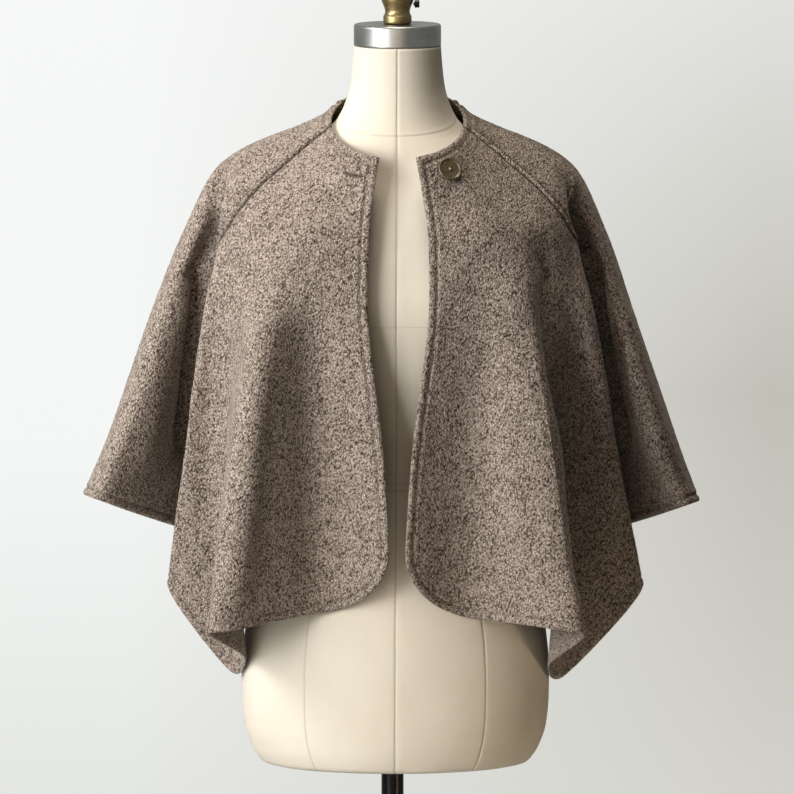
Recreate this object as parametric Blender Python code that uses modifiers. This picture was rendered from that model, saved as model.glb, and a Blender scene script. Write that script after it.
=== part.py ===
"""Collarless cape jacket in boucle wool, worn on a limbless dress form on a pole stand.

Metres, +Z up. The front faces -Y, and the origin is the middle of the stand's underside.
Right and left in the object names are the wearer's: front_right is on the -X side.
"""
import math

import bmesh
import bpy
import numpy as np
from mathutils import Matrix, Vector

COLLECTION_NAME = "cape_jacket"
CUTTER_COLLECTION_NAME = "cape_jacket_cutters"

# --- cloth ---
WALL = 0.003
SEAM_GAP = 0.0003

# The neckline is a tilted ellipse, high at the back.
NECK_HALF_WIDTH = 0.075
NECK_CENTRE_Y = -0.019
NECK_HALF_DEPTH = 0.081
NECK_MID_Z = 1.4715
NECK_RISE = 0.0355

# Stations down the cloth, as distances from the neckline.
NECK_T, SHOULDER_T, YOKE_T, UNDERARM_T, WAIST_T, HEM_T = 0.0, 0.13, 0.20, 0.29, 0.445, 0.62
STATIONS = np.array((NECK_T, SHOULDER_T, YOKE_T, UNDERARM_T, WAIST_T, HEM_T))
CHEST_Z = 1.255
WAIST_Z = 1.10
ELBOW_Z = 1.13

# One row per fold line, round one half of the jacket from the front edge to the middle back.
# neck: degrees round the neckline from the front. soft: 1 is a round fold, less is a crisper one.
UPPER_FOLDS = (
    # name, soft, neck, shoulder_x, shoulder_y, shoulder_z, yoke_x, yoke_y, yoke_z
    ("front_edge", 1.0, 16.3, 0.0275, -0.112, 1.392, 0.0318, -0.124, 1.345),
    ("front_trough", 1.0, 34.0, 0.083, -0.102, 1.386, 0.095, -0.120, 1.345),
    ("front_crest", 1.0, 50.0, 0.113, -0.091, 1.385, 0.130, -0.109, 1.345),
    ("front_flute", 0.9, 64.0, 0.138, -0.078, 1.386, 0.160, -0.091, 1.345),
    ("front_valley", 0.9, 79.0, 0.163, -0.060, 1.392, 0.181, -0.072, 1.345),
    ("side_tip", 1.0, 84.5, 0.180, -0.043, 1.401, 0.191, -0.060, 1.345),
    ("shoulder_fold", 0.9, 89.0, 0.195, -0.024, 1.410, 0.200, -0.046, 1.345),
    ("front_underarm", 1.0, 95.0, 0.196, -0.010, 1.418, 0.203, -0.020, 1.345),
    ("sleeve_front", 1.0, 99.0, 0.1965, 0.000, 1.422, 0.230, -0.018, 1.345),
    ("overarm", 1.0, 103.0, 0.1965, 0.011, 1.4245, 0.2417, 0.012, 1.345),
    ("sleeve_back", 1.0, 108.0, 0.196, 0.024, 1.421, 0.228, 0.040, 1.345),
    ("back_underarm", 1.0, 112.0, 0.195, 0.036, 1.415, 0.205, 0.055, 1.345),
    ("blade_fold", 1.0, 118.0, 0.186, 0.054, 1.403, 0.198, 0.078, 1.345),
    ("back_trough", 1.0, 128.0, 0.150, 0.080, 1.400, 0.162, 0.096, 1.345),
    ("back_flute", 1.0, 152.0, 0.085, 0.096, 1.408, 0.092, 0.110, 1.345),
    ("centre_back", 1.0, 180.0, 0.000, 0.093, 1.420, 0.000, 0.112, 1.345),
)
LOWER_FOLDS = (
    # name, chest_x, chest_y, waist_x, waist_y, hem_x, hem_y, hem_z
    ("front_edge", 0.0325, -0.134, 0.0157, -0.140, 0.007, -0.146, 0.930),
    ("front_trough", 0.092, -0.125, 0.088, -0.117, 0.085, -0.107, 0.9236),
    ("front_crest", 0.138, -0.132, 0.166, -0.154, 0.184, -0.160, 0.910),
    ("front_flute", 0.166, -0.119, 0.190, -0.140, 0.212, -0.146, 0.9041),
    ("front_valley", 0.187, -0.086, 0.188, -0.076, 0.1740, -0.060, 0.868),
    ("side_tip", 0.203, -0.073, 0.210, -0.052, 0.191, -0.012, 0.8470),
    ("shoulder_fold", 0.219, -0.058, 0.240, -0.045, 0.2605, 0.000, 0.942),
    ("front_underarm", 0.196, 0.010, 0.186, 0.033, 0.196, 0.052, 0.930),
    ("sleeve_front", 0.260, -0.028, 0.297, -0.032, 0.332, -0.026, 1.0404),
    ("overarm", 0.2775, 0.014, 0.3205, 0.020, 0.355, 0.034, 1.0427),
    ("sleeve_back", 0.250, 0.053, 0.288, 0.084, 0.314, 0.110, 1.018),
    ("back_underarm", 0.196, 0.010, 0.186, 0.033, 0.196, 0.052, 0.930),
    ("blade_fold", 0.200, 0.086, 0.198, 0.094, 0.218, 0.102, 0.932),
    ("back_trough", 0.164, 0.106, 0.162, 0.112, 0.166, 0.118, 0.925),
    ("back_flute", 0.098, 0.126, 0.104, 0.138, 0.114, 0.160, 0.918),
    ("centre_back", 0.000, 0.118, 0.000, 0.119, 0.000, 0.136, 0.915),
)
# The wearer's left half hangs a little differently: shifts of x at each station, and of hem_z.
LEFT_SHIFTS = (
    # name, yoke_dx, chest_dx, waist_dx, hem_dx, hem_dz
    ("front_edge", 0.003, 0.002, 0.0005, -0.001, -0.002),
    ("front_trough", 0.002, 0.002, 0.0, 0.0, -0.006),
    ("front_flute", 0.006, 0.000, -0.004, -0.002, -0.003),
    ("front_valley", 0.004, 0.000, 0.000, -0.001, -0.008),
    ("side_tip", 0.002, 0.001, 0.002, 0.000, -0.005),
    ("shoulder_fold", 0.001, 0.003, 0.008, 0.018, 0.000),
    ("sleeve_front", -0.006, -0.011, -0.012, -0.013, -0.006),
    ("overarm", -0.006, -0.011, -0.012, -0.0135, -0.008),
    ("sleeve_back", -0.006, -0.011, -0.012, -0.013, -0.006),
)
FOLD_NAMES = [row[0] for row in UPPER_FOLDS]
FRONT_UNDERARM = FOLD_NAMES.index("front_underarm")
BACK_UNDERARM = FOLD_NAMES.index("back_underarm")
CENTRE_BACK = FOLD_NAMES.index("centre_back")
SLEEVE_FOLDS = (FOLD_NAMES.index("sleeve_front"), FOLD_NAMES.index("overarm"),
                FOLD_NAMES.index("sleeve_back"))

# The sleeve's own underarm line below the point where body and sleeve part.
SLEEVE_UNDERARM = {"chest": (0.1972, 0.0105, CHEST_Z), "elbow": (0.216, 0.062, ELBOW_Z),
                   "cuff": (0.224, 0.086, 0.9913)}

# Where the raglan seams run: positions round the fold lines at distances down the cloth.
SEAM_COURSE = (
    # t, front, back
    (NECK_T, 4.55, 12.8),
    (0.030, 4.30, 12.9),
    (0.070, 4.02, 13.0),
    (SHOULDER_T, 4.00, 13.0),
    (0.150, 4.06, 12.9),
    (0.165, 4.24, 12.7),
    (0.180, 4.64, 12.4),
    (0.190, 5.08, 12.1),
    (YOKE_T, 5.56, 11.8),
    (0.210, 6.05, 11.5),
    (0.222, 6.50, 11.3),
    (0.235, 6.88, 11.1),
    (0.245, 7.00, 11.0),
    (UNDERARM_T, 7.00, 11.0),
)
PARTING_T = 0.245

# The rounded lower corner of each front, as shares of the panel's width and length.
CORNER_WIDTH = 0.15
CORNER_LENGTH = 0.115

# Mesh divisions: rows from neck to shoulder, shoulder to underarm, underarm to hem.
ROWS = (5, 8, 10)
FRONT_COLUMNS = 20
CORNER_COLUMNS = 6
SLEEVE_COLUMNS = 22
BACK_COLUMNS = 34

# --- button on the wearer's left front, and the slit it goes through ---
BUTTON_U, BUTTON_W = 0.260, 0.0738
BUTTON_RADIUS = 0.0135
BUTTON_HEIGHT = 0.0044
BUTTON_RIM_WIDTH = 0.0024
BUTTON_DISH = 0.0010
BUTTON_EDGE = 0.0008
BUTTON_GAP = 0.0003
BUTTON_STEPS = 36
THREAD_HOLE_RADIUS = 0.0010
THREAD_HOLE_OFFSET = 0.0022
SLIT_U, SLIT_W = 0.165, 0.0963
SLIT_LENGTH = 0.023
SLIT_WIDTH = 0.0014
SLIT_CUT_DEPTH = 0.016
SLIT_SLOPE = 10.0

# --- dress form ---
# The form and the jacket stand a little to one side of the pole.
AXIS_X = 0.0056
FORM_FOOT_X = 0.0029
# Level sections: height, half width, front and back depth from the axis.
FORM_SECTIONS = (
    # z, half_width, front_y, back_y
    (0.7405, 0.138, -0.100, 0.100),
    (0.7430, 0.149, -0.107, 0.108),
    (0.7500, 0.156, -0.111, 0.113),
    (0.7620, 0.163, -0.115, 0.118),
    (0.7850, 0.1705, -0.118, 0.122),
    (0.8150, 0.1735, -0.119, 0.123),
    (0.8450, 0.1740, -0.118, 0.122),
    (0.8850, 0.1710, -0.116, 0.118),
    (0.9300, 0.1610, -0.111, 0.110),
    (0.9800, 0.1430, -0.102, 0.095),
    (1.0300, 0.1260, -0.091, 0.081),
    (1.0700, 0.1210, -0.086, 0.076),
    (1.1100, 0.1250, -0.089, 0.078),
    (1.1600, 0.1370, -0.098, 0.087),
    (1.2100, 0.1490, -0.108, 0.096),
    (1.2600, 0.1570, -0.113, 0.101),
    (1.3100, 0.1630, -0.109, 0.103),
    (1.3500, 0.1690, -0.101, 0.101),
    (1.3850, 0.1740, -0.090, 0.094),
    (1.4050, 0.1725, -0.082, 0.088),
    (1.4200, 0.1600, -0.076, 0.083),
    (1.4350, 0.1345, -0.0708, 0.077),
    (1.4480, 0.1042, -0.0664, 0.070),
    (1.4600, 0.0810, -0.062, 0.064),
    (1.4730, 0.0675, -0.058, 0.059),
    (1.4900, 0.0590, -0.054, 0.055),
    (1.5100, 0.0535, -0.051, 0.0515),
    (1.5350, 0.0505, -0.0495, 0.0495),
    (1.5550, 0.0490, -0.0490, 0.0490),
)
FORM_COLUMNS = 40
BUST_X = 0.078
BUST_Z = 1.265
BUST_DEPTH = 0.012
BUST_SPREAD_X = 0.052
BUST_SPREAD_Z = 0.055

# --- stand, cap and finial: profiles as radius and height ---
BASE_PROFILE = (
    # radius, z
    (0.0, 0.0),
    (0.200, 0.0),
    (0.200, 0.012),
    (0.196, 0.016),
    (0.060, 0.026),
    (0.024, 0.028),
    (0.022, 0.056),
    (0.0, 0.056),
)
POLE_RADIUS = 0.0125
POLE_FOOT = 0.0563
POLE_TOP = 0.7402
CAP_BOTTOM = 1.5553
CAP_PROFILE = (
    # radius, height above the cap's bottom
    (0.0, 0.0),
    (0.0492, 0.0),
    (0.0492, 0.0232),
    (0.0482, 0.0242),
    (0.0, 0.0242),
)
FINIAL_FOOT = 1.5798
FINIAL_PROFILE = (
    # radius, height above the finial's foot
    (0.0, 0.0),
    (0.0160, 0.0),
    (0.0160, 0.0090),
    (0.0145, 0.0105),
    (0.0135, 0.0140),
    (0.0150, 0.0190),
    (0.0185, 0.0270),
    (0.0195, 0.0360),
    (0.0175, 0.0460),
    (0.0120, 0.0550),
    (0.0055, 0.0595),
    (0.0, 0.0605),
)
# The thumb screw lies along X, at the finial's bulb.
SCREW_HEAD_RADIUS = 0.0042
SCREW_SHANK_RADIUS = 0.0016
SCREW_EDGE = 0.0006
SCREW_START = 0.0180
SCREW_SHANK_LENGTH = 0.0012
SCREW_HEAD_LENGTH = 0.0056
SCREW_Z = 1.6022
ROUND_STEPS = 48
POLE_STEPS = 32
FINIAL_STEPS = 32
SCREW_STEPS = 20


def fold_stations(side):
    """Station points of every fold line on one side, and the sleeve's own underarm line."""
    shifts = {row[0]: row[1:] for row in LEFT_SHIFTS} if side > 0 else {}
    points = np.zeros((len(FOLD_NAMES), len(STATIONS), 3))
    for i, (upper, lower) in enumerate(zip(UPPER_FOLDS, LOWER_FOLDS)):
        name, _soft, neck, shoulder_x, shoulder_y, shoulder_z, yoke_x, yoke_y, yoke_z = upper
        _name, chest_x, chest_y, waist_x, waist_y, hem_x, hem_y, hem_z = lower
        yoke_dx, chest_dx, waist_dx, hem_dx, hem_dz = shifts.get(name, (0.0,) * 5)
        middle_z = ELBOW_Z if i in SLEEVE_FOLDS else WAIST_Z
        points[i] = (
            neck_point(neck),
            (shoulder_x + 0.5 * yoke_dx, shoulder_y, shoulder_z),
            (yoke_x + yoke_dx, yoke_y, yoke_z),
            (chest_x + chest_dx, chest_y, CHEST_Z),
            (waist_x + waist_dx, waist_y, middle_z),
            (hem_x + hem_dx, hem_y, hem_z + hem_dz),
        )
    return points


def neck_point(degrees):
    angle = math.radians(degrees)
    return (NECK_HALF_WIDTH * math.sin(angle),
            NECK_CENTRE_Y - NECK_HALF_DEPTH * math.cos(angle),
            NECK_MID_Z - NECK_RISE * math.cos(angle))


def hermite(p0, p1, m0, m1, f):
    f2 = f * f
    f3 = f2 * f
    return ((2 * f3 - 3 * f2 + 1) * p0 + (f3 - 2 * f2 + f) * m0
            + (3 * f2 - 2 * f3) * p1 + (f3 - f2) * m1)


def along(points, t, broken):
    """Curve through one line's station points; broken lets it turn sharply at the underarm."""
    span = np.diff(STATIONS)
    slope = np.diff(points, axis=0) / span[:, None]
    leave = np.zeros_like(points)
    leave[0] = slope[0]
    leave[-1] = slope[-1]
    leave[1:-1] = (points[2:] - points[:-2]) / (STATIONS[2:] - STATIONS[:-2])[:, None]
    arrive = leave.copy()
    if broken:
        arrive[3] = slope[2]
        leave[3] = slope[3]
    i = np.clip(np.searchsorted(STATIONS, t, side="right") - 1, 0, len(STATIONS) - 2)
    h = span[i][:, None]
    f = ((t - STATIONS[i]) / span[i])[:, None]
    return hermite(points[i], points[i + 1], leave[i] * h, arrive[i + 1] * h, f)


def smooth(x):
    x = np.clip(x, 0.0, 1.0)
    return x * x * (3.0 - 2.0 * x)


def fold_rows(side, t, part):
    """Points of the fold lines at each distance t, with their leaving and arriving directions."""
    stations = fold_stations(side)
    if part == "sleeve":
        for line in (FRONT_UNDERARM, BACK_UNDERARM):
            stations[line, 3:] = list(SLEEVE_UNDERARM.values())
    underarms = (FRONT_UNDERARM, BACK_UNDERARM)
    rows = np.stack([along(stations[i], t, i in underarms) for i in range(len(stations))], axis=1)
    soft = np.array([row[1] for row in UPPER_FOLDS])[None, :, None]
    turn = np.zeros_like(rows)
    turn[:, 1:-1] = 0.5 * (rows[:, 2:] - rows[:, :-2])
    turn[:, 0] = rows[:, 1] - rows[:, 0]
    turn[:, -1] = rows[:, -1] - rows[:, -2]
    turn[:, -1, 1:] = 0.0
    turn = turn * soft
    leave = turn.copy()
    arrive = turn.copy()
    share = smooth((t - PARTING_T) / (UNDERARM_T - PARTING_T))[:, None]
    front, back = FRONT_UNDERARM, BACK_UNDERARM
    if part == "sleeve":
        target_leave = rows[:, front + 1] - rows[:, front]
        target_arrive = rows[:, back] - rows[:, back - 1]
        leave[:, front] = (1 - share) * turn[:, front] + share * target_leave
        arrive[:, back] = (1 - share) * turn[:, back] + share * target_arrive
    else:
        across = 0.5 * (rows[:, back + 1] - rows[:, front - 1])
        arrive[:, front] = (1 - share) * turn[:, front] + share * across
        leave[:, back] = (1 - share) * turn[:, back] + share * across
    return rows, leave, arrive


def cloth(side, s, t, part):
    """Points of the cloth's outer face; s has a row for each t."""
    rows, leave, arrive = fold_rows(side, t, part)
    i = np.clip(np.floor(s).astype(int), 0, len(FOLD_NAMES) - 2)
    f = (s - i)[..., None]
    row = np.arange(len(t))[:, None]
    points = hermite(rows[row, i], rows[row, i + 1], leave[row, i], arrive[row, i + 1], f)
    points[..., 0] = AXIS_X + side * points[..., 0]
    return points


def seam_line(t, column):
    """Seam position round the folds at each t."""
    course = np.array(SEAM_COURSE)
    return np.interp(t, course[:, 0], course[:, column])


def round_corner(u, w):
    """Bends the square corner at u=0, w=1 of a front panel into a quarter ellipse."""
    p = np.clip((CORNER_WIDTH - u) / CORNER_WIDTH, 0.0, 1.0)
    q = np.clip((w - 1.0 + CORNER_LENGTH) / CORNER_LENGTH, 0.0, 1.0)
    shift_p = p * (1.0 - np.sqrt(1.0 - 0.5 * q * q))
    shift_q = q * (1.0 - np.sqrt(1.0 - 0.5 * p * p))
    return u + shift_p * CORNER_WIDTH, w - shift_q * CORNER_LENGTH


def panel(kind, side, u, w):
    """Outer face of one panel: u across it and w down it, both 0 to 1, as equal grids."""
    if kind == "front":
        u, w = round_corner(u, w)
    t = w * HEM_T
    shape = t.shape
    t = t.reshape(-1)
    u = u.reshape(-1, 1)
    front_seam = seam_line(t, 1)[:, None]
    back_seam = seam_line(t, 2)[:, None]
    if kind == "front":
        points = cloth(side, u * front_seam, t, "body")[:, 0]
    elif kind == "sleeve":
        points = cloth(side, front_seam + u * (back_seam - front_seam), t, "sleeve")[:, 0]
    else:
        near = cloth(-1, back_seam + np.minimum(2 * u, 1) * (CENTRE_BACK - back_seam), t, "body")
        far = cloth(1, back_seam + np.minimum(2 - 2 * u, 1) * (CENTRE_BACK - back_seam), t, "body")
        points = np.where(u < 0.5, near[:, 0], far[:, 0])
    return points.reshape(shape + (3,))


def panel_frame(kind, side, u, w):
    """Outward normal of a panel, and the direction across it."""
    step = 1e-4
    right = panel(kind, side, np.clip(u + step, 0, 1), w)
    left = panel(kind, side, np.clip(u - step, 0, 1), w)
    below = panel(kind, side, u, np.clip(w + step, 0, 1))
    above = panel(kind, side, u, np.clip(w - step, 0, 1))
    normal = np.cross(below - above, right - left) * (-1.0 if kind == "back" else side)
    across = right - left
    return (normal / np.linalg.norm(normal, axis=-1, keepdims=True),
            across / np.linalg.norm(across, axis=-1, keepdims=True))


def edge_normal(kind, side, u_edge, w):
    """Outward normals down one edge of a panel."""
    return panel_frame(kind, side, np.full((len(w), 1), u_edge), w[:, None])[0][:, 0]


def seam_offsets(own, other, w):
    """Wall directions at a raglan seam: halfway between both panels, then square at the underarm."""
    bisector = own + other
    bisector /= np.linalg.norm(bisector, axis=-1, keepdims=True)
    reach = np.clip((bisector * own).sum(-1), 0.6, 1.0)[:, None]
    share = smooth((w * HEM_T - PARTING_T) / (UNDERARM_T - PARTING_T))[:, None]
    direction = (1 - share) * bisector / reach + share * own
    return -WALL * direction


def panel_grids(kind, side, u, w):
    """Outer and inner points of a panel's wall, drawn in by half the seam gap at its seams."""
    outer = panel(kind, side, u, w)
    normal, across = panel_frame(kind, side, u, w)
    offset = -WALL * normal
    down = w[:, 0]
    raglan = down * HEM_T < UNDERARM_T - 1e-6
    if kind == "sleeve":
        front = seam_offsets(normal[:, 0], edge_normal("front", side, 1.0, down), down)
        back_edge = 0.0 if side < 0 else 1.0
        back = seam_offsets(normal[:, -1], edge_normal("back", 0, back_edge, down), down)
        # Below the underarm the sleeve's two edges meet at a point, so their ends are mitred.
        bisector = offset[:, 0] + offset[:, -1]
        bisector /= np.linalg.norm(bisector, axis=-1, keepdims=True)
        reach = np.clip((bisector * -normal[:, 0]).sum(-1), 0.5, 1.0)
        mitre = bisector * (WALL / reach)[:, None]
        offset[:, 0] = np.where(raglan[:, None], front, mitre)
        offset[:, -1] = np.where(raglan[:, None], back, mitre)
    elif kind == "front":
        seam = seam_offsets(normal[:, -1], edge_normal("sleeve", side, 0.0, down), down)
        offset[raglan, -1] = seam[raglan]
    else:
        for edge, edge_side in ((0, -1), (-1, 1)):
            other = edge_normal("sleeve", edge_side, 1.0, down)
            seam = seam_offsets(normal[:, edge], other, down)
            offset[raglan, edge] = seam[raglan]
    pull = np.zeros(u.shape)
    if kind in ("sleeve", "back"):
        pull[:, 0] = 0.5 * SEAM_GAP
    pull[:, -1] = -0.5 * SEAM_GAP
    outer = outer + across * pull[..., None]
    return outer, outer + offset


def row_shares():
    """Row positions down a panel, with one row exactly at the underarm."""
    neck_rows, yoke_rows, skirt_rows = ROWS
    parts = (np.linspace(NECK_T, SHOULDER_T, neck_rows, endpoint=False),
             np.linspace(SHOULDER_T, UNDERARM_T, yoke_rows, endpoint=False),
             np.linspace(UNDERARM_T, HEM_T, skirt_rows + 1))
    return np.concatenate(parts) / HEM_T


def material(name, colour, roughness, metallic=0.0):
    made = bpy.data.materials.new(name)
    made.use_nodes = True
    shader = made.node_tree.nodes["Principled BSDF"]
    shader.inputs["Base Color"].default_value = (*colour, 1.0)
    shader.inputs["Roughness"].default_value = roughness
    shader.inputs["Metallic"].default_value = metallic
    made.diffuse_color = (*colour, 1.0)
    return made


def add_object(name, mesh, look, collection):
    node = bpy.data.objects.new(name, mesh)
    collection.objects.link(node)
    mesh.materials.append(look)
    return node


def wall_mesh(name, outer, inner):
    """Closed wall between two equal grids of points."""
    rows, columns = outer.shape[:2]
    vertices = np.concatenate((outer.reshape(-1, 3), inner.reshape(-1, 3)))
    count = rows * columns

    def at(i, j, layer):
        return layer * count + i * columns + j

    faces = []
    for layer in (0, 1):
        for i in range(rows - 1):
            for j in range(columns - 1):
                faces.append((at(i, j, layer), at(i, j + 1, layer),
                              at(i + 1, j + 1, layer), at(i + 1, j, layer)))
    border = [(0, j) for j in range(columns)]
    border += [(i, columns - 1) for i in range(1, rows)]
    border += [(rows - 1, j) for j in range(columns - 2, -1, -1)]
    border += [(i, 0) for i in range(rows - 2, 0, -1)]
    # The same diagonal on both sides of a seam, so that twisted rims stay apart.
    for here, there in zip(border, border[1:] + border[:1]):
        if here[0] <= there[0]:
            faces.append((at(*here, 0), at(*there, 0), at(*there, 1)))
            faces.append((at(*here, 0), at(*there, 1), at(*here, 1)))
        else:
            faces.append((at(*here, 0), at(*there, 0), at(*here, 1)))
            faces.append((at(*there, 0), at(*there, 1), at(*here, 1)))
    return closed_mesh(name, vertices, faces)


def closed_mesh(name, vertices, faces):
    mesh = bpy.data.meshes.new(name)
    mesh.from_pydata([tuple(float(c) for c in v) for v in vertices], [], faces)
    shaped = bmesh.new()
    shaped.from_mesh(mesh)
    bmesh.ops.recalc_face_normals(shaped, faces=shaped.faces)
    shaped.to_mesh(mesh)
    shaped.free()
    mesh.validate()
    return mesh


def column_shares(kind):
    """Column positions across a panel, closer together in a front's rounded corner."""
    if kind == "front":
        corner = np.linspace(0.0, CORNER_WIDTH, CORNER_COLUMNS, endpoint=False)
        return np.concatenate((corner, np.linspace(CORNER_WIDTH, 1.0, FRONT_COLUMNS + 1)))
    return np.linspace(0.0, 1.0, (SLEEVE_COLUMNS if kind == "sleeve" else BACK_COLUMNS) + 1)


def add_panel(name, kind, side, look, collection):
    w = row_shares()
    u = column_shares(kind)
    grid_u, grid_w = np.meshgrid(u, w)
    outer, inner = panel_grids(kind, side, grid_u, grid_w)
    return add_object(name, wall_mesh(name, outer, inner), look, collection)


def form_point(angle, z, half_width, front_y, back_y):
    """A point of the dress form's surface; angle runs round from the right side to the back."""
    depth = back_y if math.sin(angle) > 0 else -front_y
    x = half_width * math.cos(angle)
    y = depth * math.sin(angle)
    if math.sin(angle) < 0:
        away = ((abs(x) - BUST_X) / BUST_SPREAD_X) ** 2 + ((z - BUST_Z) / BUST_SPREAD_Z) ** 2
        y -= BUST_DEPTH * math.exp(-away) * min(1.0, -2.0 * math.sin(angle))
    lean = (z - FORM_SECTIONS[0][0]) / (FORM_SECTIONS[-1][0] - FORM_SECTIONS[0][0])
    return (x + FORM_FOOT_X + (AXIS_X - FORM_FOOT_X) * lean, y, z)


def add_form(look, collection):
    vertices = []
    for z, half_width, front_y, back_y in FORM_SECTIONS:
        for j in range(FORM_COLUMNS):
            vertices.append(form_point(math.tau * j / FORM_COLUMNS, z, half_width, front_y, back_y))
    faces = [tuple(range(FORM_COLUMNS))]
    for i in range(len(FORM_SECTIONS) - 1):
        for j in range(FORM_COLUMNS):
            k = (j + 1) % FORM_COLUMNS
            low, high = i * FORM_COLUMNS, (i + 1) * FORM_COLUMNS
            faces.append((low + j, low + k, high + k, high + j))
    top = (len(FORM_SECTIONS) - 1) * FORM_COLUMNS
    faces.append(tuple(top + j for j in range(FORM_COLUMNS)))
    return add_object("dress_form", closed_mesh("dress_form", vertices, faces), look, collection)


def spun(name, profile, look, collection, steps=ROUND_STEPS, flip=False, x=0.0):
    """Solid of revolution about Z from (radius, height) pairs that start and end on the axis."""
    mesh = bpy.data.meshes.new(name)
    edges = [(i, i + 1) for i in range(len(profile) - 1)]
    mesh.from_pydata([(r, 0.0, z) for r, z in profile], edges, [])
    node = add_object(name, mesh, look, collection)
    node.location.x = x
    screw = node.modifiers.new("Screw", "SCREW")
    screw.axis = "Z"
    screw.steps = steps
    screw.render_steps = steps
    screw.use_merge_vertices = True
    screw.merge_threshold = 0.0001
    screw.use_normal_calculate = True
    screw.use_normal_flip = flip
    return node


def place_on_cloth(node, side, u, w, lift, slope):
    """Stands a node on a front panel, its Z along the cloth's normal and its X level."""
    at_u, at_w = np.array([[u]]), np.array([[w]])
    point = Vector(panel("front", side, at_u, at_w)[0, 0])
    normal = Vector(panel_frame("front", side, at_u, at_w)[0][0, 0])
    level = Vector((0.0, 0.0, 1.0)).cross(normal).normalized()
    upward = normal.cross(level)
    turn = Matrix((level, upward, normal)).transposed() @ Matrix.Rotation(math.radians(slope), 3, "Z")
    node.matrix_world = Matrix.Translation(point + normal * lift) @ turn.to_4x4()


def cut(node, cutter, label):
    boolean = node.modifiers.new(label, "BOOLEAN")
    boolean.operation = "DIFFERENCE"
    boolean.solver = "EXACT"
    boolean.object = cutter


def add_cutter(name, mesh, collection):
    cutter = bpy.data.objects.new(name, mesh)
    collection.objects.link(cutter)
    cutter.hide_render = True
    cutter.display_type = "WIRE"
    return cutter


def add_button(look, parts, cutters):
    """Dished horn button with a raised rim and four thread holes."""
    inner = BUTTON_RADIUS - BUTTON_RIM_WIDTH
    profile = ((0.0, 0.0), (BUTTON_RADIUS - BUTTON_EDGE, 0.0), (BUTTON_RADIUS, BUTTON_EDGE),
               (BUTTON_RADIUS, BUTTON_HEIGHT - BUTTON_EDGE),
               (BUTTON_RADIUS - BUTTON_EDGE, BUTTON_HEIGHT), (inner, BUTTON_HEIGHT),
               (inner - BUTTON_EDGE, BUTTON_HEIGHT - BUTTON_DISH), (0.0, BUTTON_HEIGHT - BUTTON_DISH))
    button = spun("button", profile, look, parts, steps=BUTTON_STEPS)
    place_on_cloth(button, 1, BUTTON_U, BUTTON_W, BUTTON_GAP, 0.0)
    holes = bmesh.new()
    for quarter in range(4):
        angle = math.radians(45 + 90 * quarter)
        spot = Vector((THREAD_HOLE_OFFSET * math.cos(angle), THREAD_HOLE_OFFSET * math.sin(angle),
                       0.5 * BUTTON_HEIGHT))
        bmesh.ops.create_cone(holes, cap_ends=True, segments=12, radius1=THREAD_HOLE_RADIUS,
                              radius2=THREAD_HOLE_RADIUS, depth=2 * BUTTON_HEIGHT,
                              matrix=Matrix.Translation(spot))
    mesh = bpy.data.meshes.new("thread_holes")
    holes.to_mesh(mesh)
    holes.free()
    cutter = add_cutter("thread_holes", mesh, cutters)
    cutter.matrix_world = button.matrix_world
    cut(button, cutter, "Thread_holes")


def add_slit(front, cutters):
    """Buttonhole cut through the wearer's right front."""
    shaped = bmesh.new()
    bmesh.ops.create_cube(shaped, size=1.0)
    bmesh.ops.scale(shaped, vec=(SLIT_LENGTH, SLIT_WIDTH, SLIT_CUT_DEPTH), verts=shaped.verts)
    mesh = bpy.data.meshes.new("buttonhole")
    shaped.to_mesh(mesh)
    shaped.free()
    cutter = add_cutter("buttonhole", mesh, cutters)
    place_on_cloth(cutter, -1, SLIT_U, SLIT_W, 0.0, -SLIT_SLOPE)
    cut(front, cutter, "Buttonhole")


def clear_scene():
    for node in list(bpy.data.objects):
        bpy.data.objects.remove(node, do_unlink=True)


def new_collection(name):
    made = bpy.data.collections.new(name)
    bpy.context.scene.collection.children.link(made)
    return made


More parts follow.
